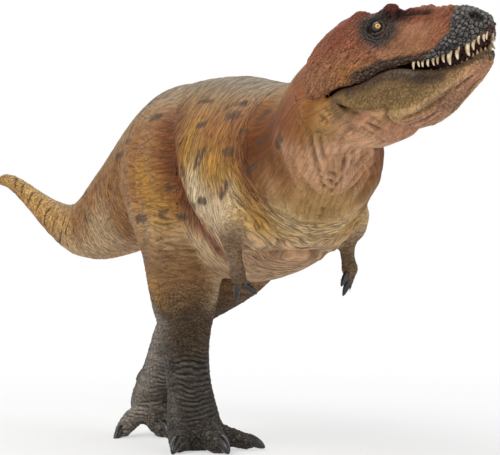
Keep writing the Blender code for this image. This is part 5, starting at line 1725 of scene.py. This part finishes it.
def dress_body(body, sketch, owner, finishes):
    """Sculpts and paints the body's skin and cuts it into a piece for each node but the skull."""
    relief = wrinkles(body)
    body.swell(relief)
    body.fields["relief"] = body.fields["relief"] + relief
    stay_inside(body.points)
    paint = paint_body(body, sketch)
    wash_and_shade(body, paint, body.fields["relief"], BODY_WASH_AND_SHADE)
    for number, node in enumerate(BODY_NODES):
        if node == "skull":
            continue
        chosen = owner == number
        used = np.unique(body.faces[chosen])
        part = body.part(chosen)
        coat = Paint(part, OCHRE)
        coat.colour, coat.gloss = paint.colour[used], paint.gloss[used]
        dress(part, coat, node + "_skin", "figure", node, finishes[kind_of(node)])


def dress_head(head, sketch, finish):
    """Sculpts and paints the upper head."""
    eyes = eye_centres()
    fine = wrinkles(head) + sculpt_head(head, eyes) + head_scales(head)
    head.swell(fine)
    head.fields["relief"] = head.fields["relief"] + fine
    stay_inside(head.points)
    coat = paint_head(head, sketch, eyes)
    wash_and_shade(head, coat, head.fields["relief"], HEAD_WASH_AND_SHADE, 8)
    dress(head, coat, "skull_skin", "figure", "skull", finish)


def dress_jaw(finish):
    """Sculpts and paints the lower jaw."""
    jaw = remeshed(("lower_jaw",), HEAD_VOXEL)
    jaw.relax(JAW_SHARE, JAW_ROUNDS)
    jaw.swell(-GROWTH / MM)
    raise_chin(jaw)
    relief = sculpt_jaw(jaw) + sculpt_marks(jaw, Sketch(jaw), JAW_MARKS, "head")
    jaw.swell(relief)
    coat = paint_jaw(jaw, Sketch(jaw))
    wash_and_shade(jaw, coat, relief, HEAD_WASH_AND_SHADE)
    dress(jaw, coat, "lower_jaw_skin", "jaw", "lower_jaw", finish)


def make_details():
    """Teeth, gums, tongue, eyes and claws, and the finish of the jaw's steel pin."""
    ivory, flesh, keratin, steel = (plain_finish(name, *values) for name, values in PLAIN.items())
    teeth("upper_teeth", UPPER_TEETH, upper_root, sense=-1, splay=0.16, body="figure", finish=ivory)
    teeth("lower_teeth", LOWER_TEETH, lower_root, sense=1, splay=0.10, body="jaw", finish=ivory)
    gum("upper_teeth", UPPER_TEETH, upper_root, sense=-1, body="figure", finish=flesh)
    gum("lower_teeth", LOWER_TEETH, lower_root, sense=1, body="jaw", finish=flesh)
    make_tongue(flesh)
    glossy = eye_finish()
    make_eye("right_eye", -1, glossy)
    make_eye("left_eye", 1, glossy)
    for (name, limb), rows in CLAWS.items():
        make_claws(name, rows, keratin)
    steel.node_tree.nodes["Principled BSDF"].inputs["Metallic"].default_value = 1
    pin = frame["nodes"]["jaw_pin"].data
    pin.materials.clear()
    pin.materials.append(steel)


def main():
    add_camera()
    bpy.context.scene.view_settings.view_transform = "Standard"
    body, owner = sculpt_body()
    sketch = Sketch(body)
    head = body.part(owner == BODY_NODES.index("skull")).refined()
    finishes = {
        "body": skin_finish("skin_paint", pebble=0.62, depth=0.12, roughness=0.60, lines=0.50),
        "head": skin_finish("head_skin_paint", pebble=0.50, depth=0.10, roughness=0.54, lines=0.30),
        "neck": skin_finish("neck_skin_paint", pebble=0.62, depth=0.12, roughness=0.60, lines=0.26),
        "limb": skin_finish("limb_skin_paint", pebble=0.75, depth=0.14, roughness=0.58, lines=0.34),
    }
    dress_body(body, sketch, owner, finishes)
    dress_head(head, sketch, finishes["head"])
    dress_jaw(finishes["head"])
    make_details()
    make_floor()
    make_world()
    add_light("key", (0.55, -0.75, 1.0), power=8.3, size=0.7)
    add_light("fill", (1.0, 0.5, 0.5), power=2.75, size=0.9)
    add_light("rim", (-0.8, 0.2, 0.9), power=3.2, size=0.6)


main()
